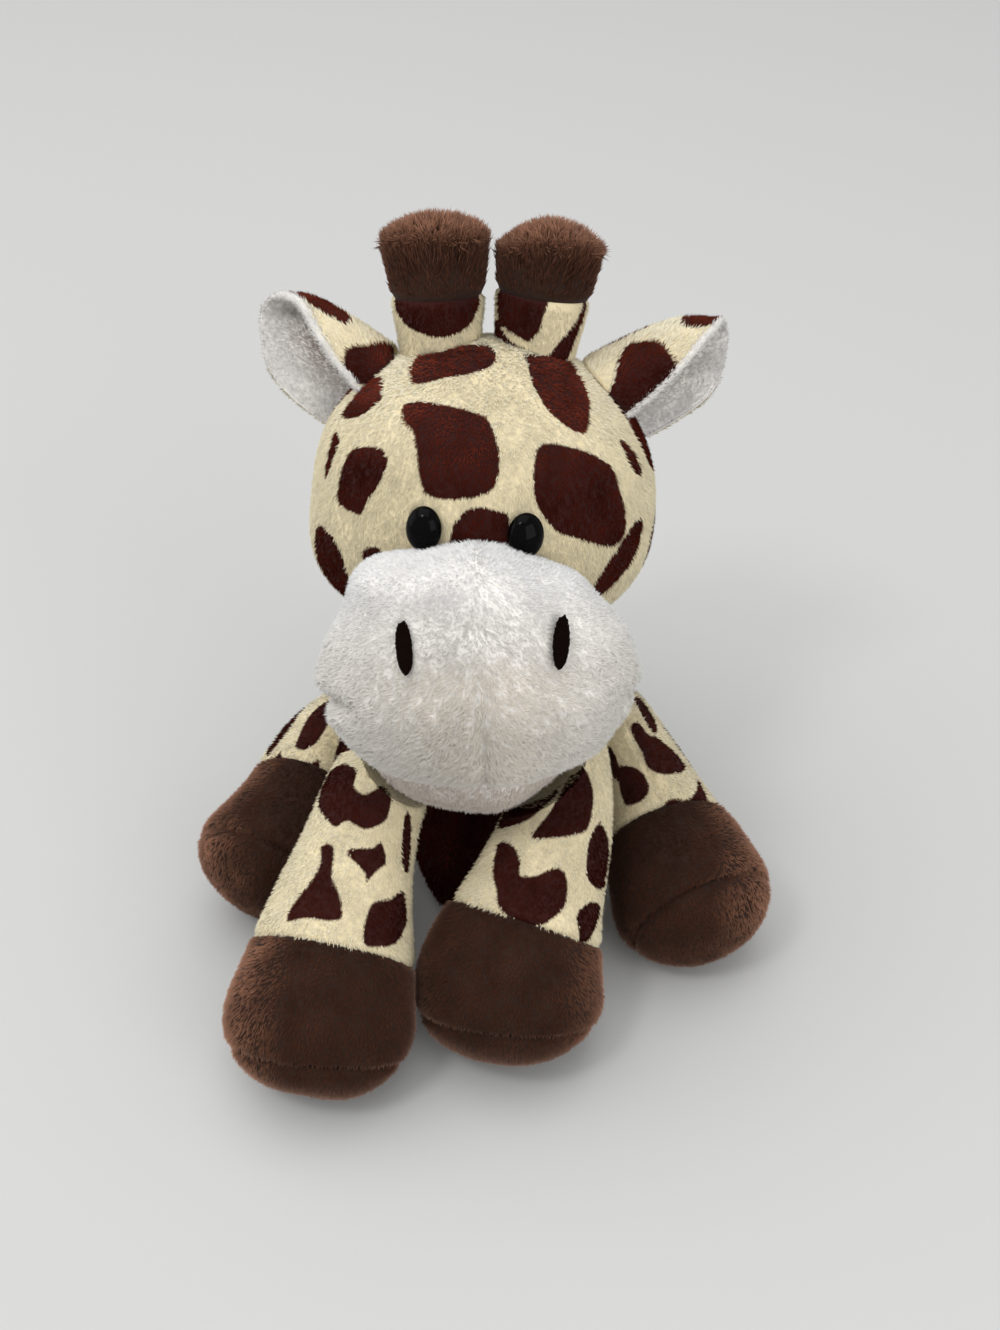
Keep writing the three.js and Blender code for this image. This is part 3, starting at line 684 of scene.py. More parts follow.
scene = bpy.context.scene
camera = bpy.data.objects.new("camera", bpy.data.cameras.new("camera"))
scene.collection.objects.link(camera)
camera.location = (0.004764, -0.32025, 0.34269)
camera.rotation_euler = (np.radians(50), 0, 0)
camera.data.sensor_width = 36
camera.data.lens = 46.015
camera.data.clip_end = 50
scene.camera = camera
scene.view_settings.view_transform = "Standard"

world = bpy.data.worlds.new("world")
scene.world = world
world.use_nodes = True
sky = world.node_tree.nodes["Background"].inputs
sky["Color"].default_value = (0.97, 0.98, 1.0, 1)
sky["Strength"].default_value = 0.72


def areaLight(name, place, aim, size, power):
    # a square lamp turned from its place to its aim
    light = bpy.data.lights.new(name, "AREA")
    light.shape, light.size, light.energy = "SQUARE", size, power
    item = bpy.data.objects.new(name, light)
    scene.collection.objects.link(item)
    way = np.array(aim, float) - np.array(place, float)
    item.location = place
    item.rotation_euler = (np.arctan2(np.hypot(way[0], way[1]), -way[2]), 0, np.arctan2(way[1], way[0]) - np.pi / 2)


areaLight("key", (-0.3, 0.1, 1.6), (0, 0.02, 0.05), 1.8, 16)
areaLight("fill", (0.9, -1.2, 0.7), (0, 0, 0.08), 1.2, 10)
areaLight("side", (-0.62, -0.6, 1.4), (0, 0, 0.08), 0.3, 4.5)
areaLight("rim", (-1.3, 0.1, 0.5), (0, 0, 0.06), 0.9, 3)

floorLook = {"Base Color": (*linear(186, 186, 184), 1), "Roughness": 0.9, "Specular IOR Level": 0.1}
floorMesh = bpy.data.meshes.new("floor")
floorMesh.from_pydata([(-4, -4, 0), (4, -4, 0), (4, 4, 0), (-4, 4, 0)], [], [(0, 1, 2, 3)])
floorMesh.materials.append(newMaterial("floor", floorLook)[0])
floor = bpy.data.objects.new("floor", floorMesh)
scene.collection.objects.link(floor)
print("stage set")


# Forms


def upright(height):
    # a straight spine, centred
    return [[0, 0, -height / 2], [0, 0, height / 2]]


head = softForm(upright(75), across=84, deep=77, shares=[1.04, 1.05, 1.01, 1, 0.98], rounds=(0.5, 0.5),
                fullness=2.08, place=(headTurn, headPlace), inset=0.7)
muzzle = softForm(upright(53.6), across=77.4, deep=52.4, shares=[0.94, 0.94, 0.99, 0.91, 0.85, 1.02],
                  rounds=(0.5, 0.46), fullness=2.45, place=onHead((0, -46, -26), lean=-11.5, roll=-4.5), inset=1.3)
chin = softForm(upright(30), across=50, deep=40, shares=[1, 1], rounds=(0.5, 0.5), fullness=2,
                place=onHead((0, -32, -54), lean=0, roll=0), inset=1.0)
torso = softForm(bentLine([(0, 3, -0.5), (0, 1, 42), (0, -8, 84)]), across=64, deep=64,
                 shares=[0.9, 1, 1, 0.93, 0.8, 0.66, 0.58], rounds=(0.28, 0.1), fullness=3, inset=1.0)

# the chin at the end of the head's nod, which the legs and the torso leave room for
nodTurn = turned("x", 5)
chinLow = {**chin, "place": (nodTurn @ chin["place"][0], neck + nodTurn @ (chin["place"][1] - neck))}

hornTall = 44


def hornForm(side):
    # a tube on the head's crown, a fifth narrower at its foot
    foot = 20 / 25
    return softForm([[0, 0, 0], [0, 0, hornTall]], across=25, deep=25, shares=[foot, foot, (1 + foot) / 2, 1, 1],
                    rounds=(0, 0.16), fullness=2.4, place=onHead((side * 10.3 - 1, 4, 22), lean=-3, roll=side * 5),
                    inset=0.7)


def legForm(root, knee, hoof, toe, across, deep):
    # root, knee and hoof are shares of the torso's sizes, and the hoof comes down until the floor presses it
    size = np.array([64, 64, 84.0])

    def at(height, inset=0.0):
        # the form with its hoof's middle at a height
        middle = np.array([hoof[0] * size[0], hoof[1] * size[1], height])
        line = bentLine([root * size, knee * size, middle, middle + 20 * unit(np.array(toe))])
        return softForm(line, across, deep, shares=[0.52, 0.54, 0.6, 0.72, 0.88, 1, 0.99], rounds=(0.06, 0.24),
                        fullness=2.3, inset=inset)
    share, angle = np.meshgrid(np.linspace(0, 1, 60), np.arange(0, 360, 5.0), indexing="ij")
    lowest = formPoints(at(deep / 2), share, angle)[..., 2].min()
    return at(deep / 2 - lowest - 0.5, 0.7)


legs = {
    "front_left": {"form": legForm((0.27, -0.469, 0.64), (0.3, -0.731, 0.56), (0.11, -1.275),
                                   (-0.1, -0.62, -0.78), 46, 42), "hoofStart": 0.61},
    "front_right": {"form": legForm((-0.3, -0.469, 0.64), (-0.44, -0.787, 0.54), (-0.61, -1.425),
                                    (-0.12, -0.66, -0.75), 46, 42), "hoofStart": 0.64},
    "hind_left": {"form": legForm((0.5, 0.075, 0.36), (0.62, -0.263, 0.36), (0.8, -0.797),
                                  (0.35, -0.85, -0.25), 42, 41), "hoofStart": 0.56},
    "hind_right": {"form": legForm((-0.5, 0.094, 0.36), (-0.66, -0.15, 0.36), (-0.82, -0.581),
                                   (-0.4, -0.85, -0.25), 42, 41), "hoofStart": 0.46},
}

# Patches: degrees and millimetres of each corner


headPatches = outlines("""
    131 92, 122 94, 107 94, 96 93, 90 91, 86 84, 86 79, 88 75, 94 73, 104 72, 110 73, 113 77, 116 82, 120 86,
    126 88; 70 85, 62 85, 50 82, 42 78, 40 73, 38 66, 38 61, 44 59, 56 62, 66 65, 72 70, 74 75, 73 81; 146 77,
    137 80, 129 80, 126 77, 128 72, 132 67, 134 64, 140 64, 146 65, 147 70; 136 98, 144 100, 160 104, 172 108,
    156 115, 114 121, 86 117, 89 109, 104 105, 120 102, 130 99; 44 113, 62 104, 63 97, 61 93, 54 88, 48 87, 40 91,
    30 96, 20 101, 6 106; 164 83, 168 88, 170 93, 163 96, 149 93, 146 90, 152 85; 100 55, 100 65, 98 68, 96 70,
    91 71, 85 70, 82 68, 82 55; 158 56, 148 56, 142 52, 141 44, 146 33, 152 29, 158 36, 163 45; 26 62, 29 54, 38 48,
    45 45, 49 49, 45 55, 38 60, 32 63; 30 83, 24 79, 23 73, 29 75, 31 79; 162 79, 160 74, 158 68, 155 70, 155 78;
    132 55, 129 57, 125 57.5, 124 55, 130 52; 10 92, 2 86, 352 90, 345 82, 350 72, 2 70, 12 74, 14 84; 8 60, 358 62,
    352 54, 356 42, 6 40, 14 48, 13 56; 188 94, 180 88, 186 78, 197 76, 206 84, 202 94; 186 62, 178 56, 181 44,
    193 42, 201 50, 197 61; 215 74, 224 68, 237 70, 242 80, 233 90, 219 86; 214 50, 226 44, 240 48, 238 58, 224 62;
    222 104, 232 98, 246 100, 244 109, 230 112; 330 96, 318 100, 304 97, 300 88, 312 82, 326 85; 326 66, 314 70,
    302 64, 304 54, 318 50, 330 56; 290 78, 280 84, 268 80, 262 70, 274 62, 287 66; 268 104, 256 96, 264 90, 280 92,
    288 101, 280 108; 285 40, 268 42, 252 38, 256 28, 274 26, 288 31""")

legPatches = {
    "front_right": outlines("""
        196 28, 228 26, 248 27, 251 30, 266 31, 278 29, 288 27, 296 28, 299 34, 292 37, 278 39, 258 38, 248 40,
        230 38, 214 36, 198 33; 242 45, 255 45, 262 52, 271 55, 276 58, 276 61, 250 62, 236 63, 236 59, 246 53,
        247 49; 268 45, 290 43, 298 41, 307 45, 299 48, 292 51, 289 49, 276 47; 302 55, 319 53, 336 50, 346 55,
        342 58, 324 63, 300 65, 296 62, 298 58; 320 31, 334 34, 343 44, 334 45, 324 41; 196 20, 213 19, 236 22,
        214 23, 197 23; 6 26, 22 22, 38 27, 34 37, 16 40, 4 34; 20 50, 36 46, 56 50, 60 60, 38 64, 22 60; 80 30,
        98 26, 116 32, 112 44, 92 46, 78 40; 150 48, 166 42, 182 48, 186 60, 168 64, 150 58; 140 26, 156 22, 166 30,
        154 38, 140 34"""),
    "front_left": outlines("""
        214 41, 234 41, 247 44, 252 47, 265 46, 275 44, 284 43, 293 45, 296 50, 290 53, 276 57, 262 57, 245 55,
        238 52, 226 48; 269 25, 282 23, 296 23, 307 26, 308 29, 304 33, 290 35, 268 37, 249 38, 257 33, 264 29;
        184 29, 222 26, 258 24, 260 26, 254 29, 240 34, 212 37, 190 36; 319 31, 336 32, 354 36, 350 42, 335 44,
        314 43, 308 38, 310 34; 334 47, 346 48, 334 54, 322 57, 314 54, 310 51, 320 48; 8 44, 24 40, 40 46, 42 56,
        24 60, 8 54; 40 24, 58 20, 74 26, 70 36, 50 38; 90 44, 108 40, 124 48, 118 58, 98 60; 140 26, 158 22,
        172 28, 166 38, 148 38; 160 50, 176 46, 190 52, 186 60, 168 62"""),
    "hind_left": outlines("""
        266 28, 280 27, 286 30, 298 31, 312 34, 316 38, 300 42, 278 42, 266 39, 267 34; 296 19, 312 18, 311 24,
        308 28, 297 30, 291 27; 232 36, 249 37, 258 40, 259 44, 254 46, 243 47, 229 45; 222 29, 232 30, 235 35,
        234 39, 226 38, 220 33; 322 43, 319 47, 310 56, 264 57, 263 51, 274 49, 290 50, 304 48; 336 26, 352 24,
        4 30, 356 38, 340 36; 10 44, 26 40, 40 46, 34 54, 16 54; 60 24, 84 20, 98 30, 84 40, 64 36; 140 34, 160 28,
        178 36, 168 46, 146 46"""),
    "hind_right": outlines("""
        268 42, 274 38, 286 36, 292 42, 288 48, 283 51, 270 49; 246 26, 262 22, 276 26, 270 33, 252 34; 222 40,
        236 36, 246 42, 240 50, 224 50; 196 26, 212 22, 226 28, 216 36, 200 34; 176 42, 190 38, 204 44, 198 50,
        180 50; 300 26, 318 22, 332 30, 322 38, 304 36; 120 30, 140 26, 152 36, 136 44, 120 40; 340 42, 356 38,
        10 44, 0 50, 344 50"""),
}

torsoPatches = outlines("""
    60 20, 120 18, 126 40, 118 62, 96 78, 72 72, 56 48; 20 30, 38 26, 48 40, 40 56, 22 52; 140 26, 160 30, 166 48,
    150 58, 136 46; 350 34, 8 40, 6 58, 350 64, 338 50; 172 66, 190 60, 202 72, 192 84, 174 80; 300 30, 322 26,
    330 42, 314 54, 296 46; 262 44, 284 40, 290 58, 272 70, 256 58; 214 30, 236 28, 244 44, 228 56, 210 46; 236 66,
    250 72, 246 86, 228 84, 224 72; 296 68, 314 64, 324 76, 310 88, 296 82; 12 76, 30 70, 44 80, 34 92, 14 90""")

hornPatches = {
    1: outlines("""
        162 30, 161 19, 139 18, 118 17, 102 16.3, 92 19, 88 24, 87 30; 178 18, 165 19, 145 17, 130 15.5, 109 14.5,
        88 13.5, 84 10, 108 9, 138 9, 178 10; 14 29, 22 22, 32 15, 40 9, 66 9, 72 13, 60 17, 44 21, 26 27; 250 22,
        272 18, 290 24, 280 31, 256 30"""),
    -1: outlines("""
        162 30, 160 24, 148 20.5, 131 18.5, 115 17.5, 96 16.5, 75 16.5, 57 17.5, 38 19.5, 22 24, 18 30; 230 20,
        252 16, 270 22, 262 31, 236 30; 320 16, 338 14, 348 20, 336 25, 322 22"""),
}


# Head and face


headBall = np.array([42, 38.5, 37.5])
eye = {"apart": 11.3, "shift": -2, "rise": 3, "halfWide": 4.2, "halfTall": 5.3}


def eyeFrame(side):
    # the seat on the head's ball, and the way straight out of the ball there
    across, rise = (side * eye["apart"] + eye["shift"]) / headBall[0], eye["rise"] / headBall[2]
    way = np.array([across, -np.sqrt(1 - across**2 - rise**2), rise])
    outward = unit(way / headBall)
    right = unit(np.cross([0, 0, 1.0], outward))
    up = np.cross(outward, right)
    return (way * headBall) @ headTurn.T + headPlace, right @ headTurn.T, up @ headTurn.T, outward @ headTurn.T


def eyePiece(part, side):
    # a lens: a flat back, a rounded rim and a dome
    seat, right, up, out = eyeFrame(side)
    swing = np.radians(np.linspace(0, 88, 26))
    radius = np.concatenate([[2, 4.2, 4.8, 5.15, 5.28], eye["halfTall"] * np.cos(swing) ** 0.9])
    height = np.concatenate([[0.3, 0.3, 0.4, 0.62, 0.85], 1.1 + 3.0 * np.sin(swing)])
    angle = np.linspace(0, 2 * np.pi, 96, endpoint=False)
    x = radius[:, None] * np.cos(angle) * 8.4 / 10.6
    y = radius[:, None] * np.sin(angle)
    points = seat + right * x[..., None] + up * y[..., None] + out * (height[:, None, None] - 0.2)
    points = np.vstack([points.reshape(-1, 3), seat + out * 0.1, seat + out * 3.9])
    faces = outwardFaces(points, gridFaces(*x.shape))
    piece = makePiece(f"{part}_button", points, faces, eyeMaterial)
    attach(piece, "head")
    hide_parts(part)


def glossMaterial(name, base, other, roughness, coat):
    # a dark gloss whose tone shifts a little over a noise, with a faint moulded ripple
    material, tree, shader = newMaterial(name, {"Roughness": roughness, "Specular IOR Level": coat})
    place = addNode(tree, "ShaderNodeTexCoord")
    noise = addNode(tree, "ShaderNodeTexNoise", None, {"Scale": 500.0, "Detail": 5.0})
    tree.links.new(place.outputs["Object"], noise.inputs["Vector"])
    tree.links.new(mixNodes(tree, noise.outputs["Fac"], base, other), shader.inputs["Base Color"])
    bumpNodes(tree, shader, noise.outputs["Fac"], 0.05, 0.0001)
    return material


eyeMaterial = glossMaterial("eye_gloss", linear(5, 4, 5), linear(7, 6, 6), 0.05, 0.05)
threadMaterial = clothMaterial("nostril_thread", colour["brown"] * 0.16, colour["brown"] * 0.12, roughness=0.9,
                               sheen=0.0, bump=0.00005, grain=4000.0, source="Print", shine=0.03)
for part, side in (("left_eye", 1), ("right_eye", -1)):
    eyePiece(part, side)


def headSculpt(grid):
    # soft lumps, and a fuller cheek on the toy's right
    off = localTo(head, grid["points"]) - np.array([-36, -8, -17])
    cheek = 1.7 * np.exp(-dot(off, off)[..., 0] / 150)
    lumps = softNoise(grid["points"], 34, 3) * 0.35
    return grid["points"] + grid["normals"] * (lumps + cheek)[..., None]


headGrid = coverGrid(head, 0, 1, 150, 220, headSculpt)
coverPiece("head_cover", headGrid, "printed", ("head_skin", "head_stuffing"), "head", headPatches,
           perDegree["head"])


def underEye(spots, spare):
    # within an eye's oval, grown by a margin
    mask = np.zeros(len(spots["points"]), bool)
    for side in (1, -1):
        seat, right, up, out = eyeFrame(side)
        off = spots["points"] - seat
        x = dot(off, right)[:, 0] / (eye["halfWide"] + spare)
        y = dot(off, up)[:, 0] / (eye["halfTall"] + spare)
        mask |= (x * x + y * y < 1) & (dot(off, out)[:, 0] > -8)
    return mask


downward = np.array([0, -0.25, -1.0])


def headFlow(spots):
    # down and forward over the crown, and out sideways over the cheeks
    local = localTo(head, spots["points"])
    flow = np.stack([local[:, 0] * 0.012, -0.35 + local[:, 1] * 0.004, -np.ones(len(local))], -1)
    return flow @ headTurn.T


headSpots = scatter(headGrid, 5.2, 11)
hide = hiddenBy(headSpots, [muzzle, chin, torso], -0.6) | underEye(headSpots, -0.2)
hide |= hiddenBy(headSpots, [hornForm(1), hornForm(-1)], -0.5)
headSpots = kept(headSpots, ~hide)
frontHalf = localTo(head, headSpots["points"])[:, 1] < 4
headPile = {"length": 1.6, "lift": 38, "width": 0.36, "mess": 0.22, "wander": 0.28, "clump": 3, "tone": 0.08}
for name, mask, seed in (("front", frontHalf, 21), ("back", ~frontHalf, 22)):
    strandPiece(f"head_pile_{name}", kept(headSpots, mask), headFlow, headPile,
                printTintAndTopLight(head, headPatches, perDegree["head"], seed), "printed", seed, "head")
print("head made", len(headSpots["points"]))


def muzzleSculpt(grid):
    # a parting down the front, a pinch at each corner of the mouth, and soft lumps
    points, normals = grid["points"], grid["normals"]
    local = localTo(muzzle, points)
    parting = -1.0 * bell(local[..., 0], 1, 1.8) * ramp(-local[..., 1], 0, 10) * ramp(-local[..., 2], -14, 8)
    pinch = sum(-depth * np.exp(-((local[..., 0] - x) / 4.5) ** 2 - ((local[..., 2] + 6.5) / 2.4) ** 2)
                for x, depth in ((-35, 8), (36, 1.8)))
    shoulder = sum(rise * np.exp(-((local[..., 0] - x) / 9) ** 2 - ((local[..., 2] - z) / 8) ** 2)
                   for x, z, rise in ((-24, 22, 1.6), (-1, 27, 1.0), (17, 26, -2.0), (27, 20, -2.2)))
    lumps = softNoise(points, 22, 5) * 0.4
    points = points + normals * (parting + pinch + shoulder + lumps)[..., None]
    return pushedOut(points, head, 0.3)


muzzleGrid = coverGrid(muzzle, 0, 1, 110, 180, muzzleSculpt)
coverPiece("muzzle_cover", muzzleGrid, "white", ("muzzle_skin", "muzzle_stuffing"), "head")

nostril = {"apart": 17, "shift": 1.5, "rise": 9, "lean": np.radians(5), "halfWide": 1.7, "halfTall": 5.3}


def nostrilPlace(side, x, z):
    # the oval's own plane, leaned, to the muzzle's width and height
    lean = nostril["lean"] * side
    return (side * nostril["apart"] + nostril["shift"] + x * np.cos(lean) + z * np.sin(lean),
            nostril["rise"] + z * np.cos(lean) - x * np.sin(lean))


def frontOf(form, x, z, grow):
    # the front of an upright form over a place across and up
    share = np.clip(z / form["length"] + 0.5, 0, 1)
    swell = swellOf(form, share)
    width = np.maximum((form["across"] / 2 + grow) * swell, 1e-6)
    y = -(form["deep"] / 2 + grow) * swell * np.sqrt(np.clip(1 - (x / width) ** 2, 0, 1))
    turn, place = form["place"]
    return np.stack([x, y, z], -1) @ turn.T + place


def tubeGrid(path, radius, sides, facing):
    # rings round each point of a path, square to it
    along = unit(np.gradient(path, axis=0))
    side = unit(np.cross(along, facing))
    up = np.cross(side, along)
    angle = np.linspace(0, 2 * np.pi, sides, endpoint=False)[None, :, None]
    radius = np.broadcast_to(radius, len(path))[:, None, None]
    return path[:, None] + (side[:, None] * np.cos(angle) + up[:, None] * np.sin(angle)) * radius


def joinedGrids(grids, ends):
    # several closed tubes as one set of points and faces
    points, faceSets, start = [], [[], []], 0
    for grid, poles in zip(grids, ends):
        here = np.vstack([grid.reshape(-1, 3), poles])
        for n, faces in enumerate(outwardFaces(here, gridFaces(*grid.shape[:2]))):
            faceSets[n].append(faces + start)
        points.append(here)
        start += len(here)
    return np.vstack(points), [np.vstack(f) for f in faceSets]


def nostrilPiece(part, side):
    # satin stitches side by side across the oval, each arched over it
    rng = np.random.default_rng(31 + side)
    tubes, ends = [], []
    out = -muzzle["place"][0][:, 1]
    for z in np.linspace(-5.1, 5.1, 27):
        half = nostril["halfWide"] * np.sqrt(max(1 - (z / 5.35) ** 2, 0.02)) + rng.uniform(-0.08, 0.08)
        t = np.linspace(-1, 1, 9)
        x, zs = nostrilPlace(side, t * half, z + rng.uniform(-0.05, 0.05) + 0.25 * t)
        grow = 0.1 + 1.25 * np.sqrt(np.clip(1.02 - t * t, 0, 1)) + rng.uniform(0, 0.12)
        path = frontOf(muzzle, x, zs, grow)
        tubes.append(tubeGrid(path, 0.27, 7, out))
        ends.append(path[[0, -1]])
    points, faces = joinedGrids(tubes, ends)
    piece = makePiece(f"{part}_stitching", points, faces, threadMaterial, {"Print": np.zeros(len(points))})
    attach(piece, "head")
    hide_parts(part)


for part, side in (("left_nostril", 1), ("right_nostril", -1)):
    nostrilPiece(part, side)


def muzzleFlow(spots):
    # out from the parting to both sides, and down
    local = localTo(muzzle, spots["points"])
    aside = np.tanh((local[:, 0] - 1) / 2.5)
    flow = np.stack([aside * 1.0 + local[:, 0] * 0.01, np.zeros(len(local)), -0.75 - local[:, 2] * 0.01], -1)
    return flow @ muzzle["place"][0].T


def onNostril(spots, spare):
    # within a nostril's leaned oval, grown by a margin
    local = localTo(muzzle, spots["points"])
    mask = np.zeros(len(local), bool)
    for side in (1, -1):
        lean = nostril["lean"] * side
        x, z = local[:, 0] - side * nostril["apart"] - nostril["shift"], local[:, 2] - nostril["rise"]
        across = (x * np.cos(lean) - z * np.sin(lean)) / (nostril["halfWide"] + spare)
        up = (x * np.sin(lean) + z * np.cos(lean)) / (nostril["halfTall"] + spare)
        mask |= (across**2 + up**2 < 1) & (local[:, 1] < 0)
    return mask


muzzleSpots = scatter(muzzleGrid, 6.2, 12)
high = ramp(localTo(muzzle, muzzleSpots["points"])[:, 2], -2, 12)
muzzleSpots["grow"] = 1 - 0.4 * high
muzzleSpots["lift"] = 38 + 22 * high
muzzleSpots["wander"] = 0.7 - 0.5 * high[:, None]
gone = hiddenBy(muzzleSpots, [head], 0.6) | hiddenBy(muzzleSpots, [chin], -1) | onNostril(muzzleSpots, 0.1)
muzzleSpots = kept(muzzleSpots, ~gone)
# painted shade: warmer and dimmer low down, most of all in the middle
local = localTo(muzzle, muzzleSpots["points"])
lowShade = 1 - ramp(local[:, 2:], 2, 18)
lowShade = lowShade * (0.45 + 0.55 * bell(local[:, :1], 0, 24))
strong = np.clip(lowShade * 2, 0, 1) * (1 - np.clip(lowShade * 2 - 1, 0, 1) * 0.7)
# painted shadow down the middle of the lower front
middleShade = 1 - 0.24 * bell(local[:, :1], 0, 17) * strong
muzzleRoot = (colour["white"] * 0.8 * (1 - lowShade) + linear(204, 192, 176) * lowShade) * middleShade
muzzleTip = (linear(236, 237, 237) * (1 - lowShade) + linear(240, 234, 222) * lowShade) * middleShade
muzzlePile = {"length": 2.3, "width": 0.36, "mess": 0.3, "clump": 2.4, "tone": 0.08, "soft": 0.6}
strandPiece("muzzle_pile", muzzleSpots, muzzleFlow, muzzlePile, (muzzleRoot, muzzleTip), "white", 23, "head")
print("muzzle made", len(muzzleSpots["points"]))


def chinSculpt(grid):
    # slimmer on the toy's left, with soft lumps, and clear of the head and the muzzle
    slim = -1.8 * np.clip(grid["points"][..., 0] / 12 - 0.2, 0, 1)
    points = grid["points"] + grid["normals"] * (softNoise(grid["points"], 18, 6) * 0.3 + slim)[..., None]
    return clearOf(points, (head, 0.3), (muzzle, 0.3, (0.45, 0.55)))


chinGrid = coverGrid(chin, 0, 1, 60, 120, chinSculpt)
coverPiece("chin_cover", chinGrid, "white", ("chin_skin", "chin_stuffing"), "head")
chinSpots = scatter(chinGrid, 4, 13)
chinSpots = kept(chinSpots, ~hiddenBy(chinSpots, [head, muzzle], 0.6))
chinPile = {"length": 2.0, "lift": 36, "width": 0.42, "mess": 0.25, "wander": 0.3}
# the chin's white plush painted greyer and pinker than the muzzle's: painted shade under the muzzle
strandPiece("chin_pile", chinSpots, downward, chinPile, (linear(178, 164, 152), linear(222, 210, 198)), "white", 24,
            "head")
print("chin made")


# Horns


def groove(place, at, width, depth):
    # a dip of a depth at a place, as a bell of a width
    return -depth * bell(place, at, width)


for part, side in (("left_horn", 1), ("right_horn", -1)):
    form = hornForm(side)
    capShare = 1 - {1: 17.8, -1: 19.2}[side] / hornTall
    patches = hornPatches[side]
    aside, _, upWay = form["place"][0].T

    def stemSculpt(grid):
        # a groove at the cap's seam, and a top let down by the length of its standing pile, more at its edges
        dip = groove(grid["share"] * hornTall, capShare * hornTall, 0.9, 0.5)
        high = ramp(grid["share"], 0.7, 0.3)
        x = dot(grid["points"] - form["place"][1], aside)[..., 0] / 10
        fall = 2.6 * high**2 + (1.3 * x**2 + 1.3 * (1 + side) * np.clip(-x, 0, 1.2) ** 2) * high
        points = grid["points"] + grid["normals"] * dip[..., None] - upWay * fall[..., None]
        return pushedOut(points, head, 0.3)

    # the stem's top rises into the cap as a low cone, so that no light passes through the seam
    stemGrid = coverGrid(form, 0.004, capShare - 0.0005, 44, 90, stemSculpt, (False, False))
    stemGrid["poles"][1] += upWay * 1.2
    coverPiece(f"{part}_stem_cover", stemGrid, "printed", (f"{part}_stem", f"{part}_stuffing"), "head",
               patches, perDegree["horn"])
    capGrid = coverGrid(form, capShare + 0.0005, 1, 50, 90, stemSculpt, (False, True))
    capGrid["poles"][0] += upWay * 1.3
    coverPiece(f"{part}_cap_cover", capGrid, "brown", (f"{part}_cap",), "head")

    spots = scatter(stemGrid, 4.5, 14 + side)
    spots = kept(spots, ~hiddenBy(spots, [head], 0.5))
    stemPile = {"length": 1.5, "lift": 38, "width": 0.36, "mess": 0.2}
    strandPiece(f"{part}_stem_pile", spots, downward, stemPile,
                printTintAndTopLight(form, patches, perDegree["horn"], 3, 0.85), "printed", 25 + side, "head")

    def hornFlow(spots):
        # up the horn, and every way where the top is flat
        flat = np.clip(dot(spots["normals"], upWay), 0, 1)
        curls = np.stack([softNoise(spots["points"], 2.6, 60 + n) for n in range(3)], -1)
        away = spots["points"] - (form["place"][1] + upWay * dot(spots["points"] - form["place"][1], upWay))
        return upWay * (1 - flat) + (unit(away) * 0.4 + curls) * flat + 1e-3

    spots = scatter(capGrid, 6, 16 + side)
    top = np.clip(dot(spots["normals"], upWay)[:, 0], 0, 1)
    high = ramp(spots["share"], capShare, 1 - capShare)
    inward = np.clip(-dot(spots["normals"], aside)[:, 0], 0, 1) * (1 + side) / 2
    spots["lift"] = 4 + 8 * np.clip(high * 2, 0, 1) + 46 * top
    spots["grow"] = 0.42 + 0.63 * np.clip(high * 2, 0, 1) - 0.2 * top - 0.35 * inward * high
    capPile = {"length": 4.2, "liftMess": 8, "width": 0.38, "mess": 0.18, "wander": 0.2, "clump": 3.5, "rings": 2,
               "sag": -0.03, "tone": 0.3, "soft": 0.45}
    lit = np.clip(0.75 * high**2.5 + 0.4 * top, 0, 1)[:, None]
    tip = colour["brownTip"] * 0.8 * (1 - lit) + colour["hornTip"] * lit
    strandPiece(f"{part}_cap_pile", spots, hornFlow, capPile, (brownRoot, tip), "brown", 27 + side, "head")
print("horns made")


# Ears: two folded sheets edge to edge, with a rolled hem


ear = {"rise": 38, "sweep": 6, "twist": 16, "root": (21, 4, 16.5), "long": 41, "under": 103, "curl": 11}


def earAxes(side):
    # where an ear leaves the head, and its ways along, across and ahead, twisted about its length
    rise, sweep, down = np.radians(ear["rise"]), np.radians(ear["sweep"]), side * np.radians(ear["twist"])
    along = unit(np.array([side * np.cos(rise), np.sin(sweep), np.sin(rise)]))
    ahead = unit(np.array([0, -1, 0]) + along * along[1])
    across = np.cross(along, ahead) * -side

    def twisted(v):
        # the turn of a vector about the way along
        return v * np.cos(down) + np.cross(along, v) * np.sin(down) + along * (along @ v) * (1 - np.cos(down))
    return np.array([side, 1, 1]) * ear["root"], along, twisted(across), twisted(ahead)


earOver = {1: 178, -1: 152}
earShares = {1: [1, 1, 0.98, 0.94, 0.88, 0.86, 0.92], -1: [1.08, 1.06, 1.02, 0.96, 0.87, 0.76, 0.64]}
earBend = {1: (5.2, 0, -3.0), -1: (-3.0, 0, -1.6)}


def earSpan(side, t):
    # the degrees of an ear's two free edges, which draw together round the tip as a superellipse
    over = earOver[side] * smoothRun(earShares[side], t)
    near = ramp(t, 0.55, 1 - 0.55)
    half = (over + ear["under"]) / 2 * (1 - near**2.4) ** (1 / 2.4)
    return (over - ear["under"]) / 2 - half, (over - ear["under"]) / 2 + half


def earPoints(side, t, angle, offset):
    # a place along the ear, and an arc round its middle line there
    root, along, across, ahead = earAxes(side)
    share = smoothRun([1, 0.98, 0.96, 0.93, 0.88, 0.76, 0.46], t)
    fuller = {1: 2.6, -1: 3.8}[side] * bell(angle, -95, 45) * np.sin(np.pi * np.clip(t, 0, 1))
    radius = ear["curl"] * share + np.where(offset < -0.5, offset * share, offset) + fuller
    turn = np.radians(angle)
    points = root + along * (ear["long"] * t)[..., None] - ahead * (radius * np.cos(turn))[..., None]
    points = points + across * (radius * np.sin(turn))[..., None]
    return points @ headTurn.T + headPlace + np.array(earBend[side]) * (t**2)[..., None]


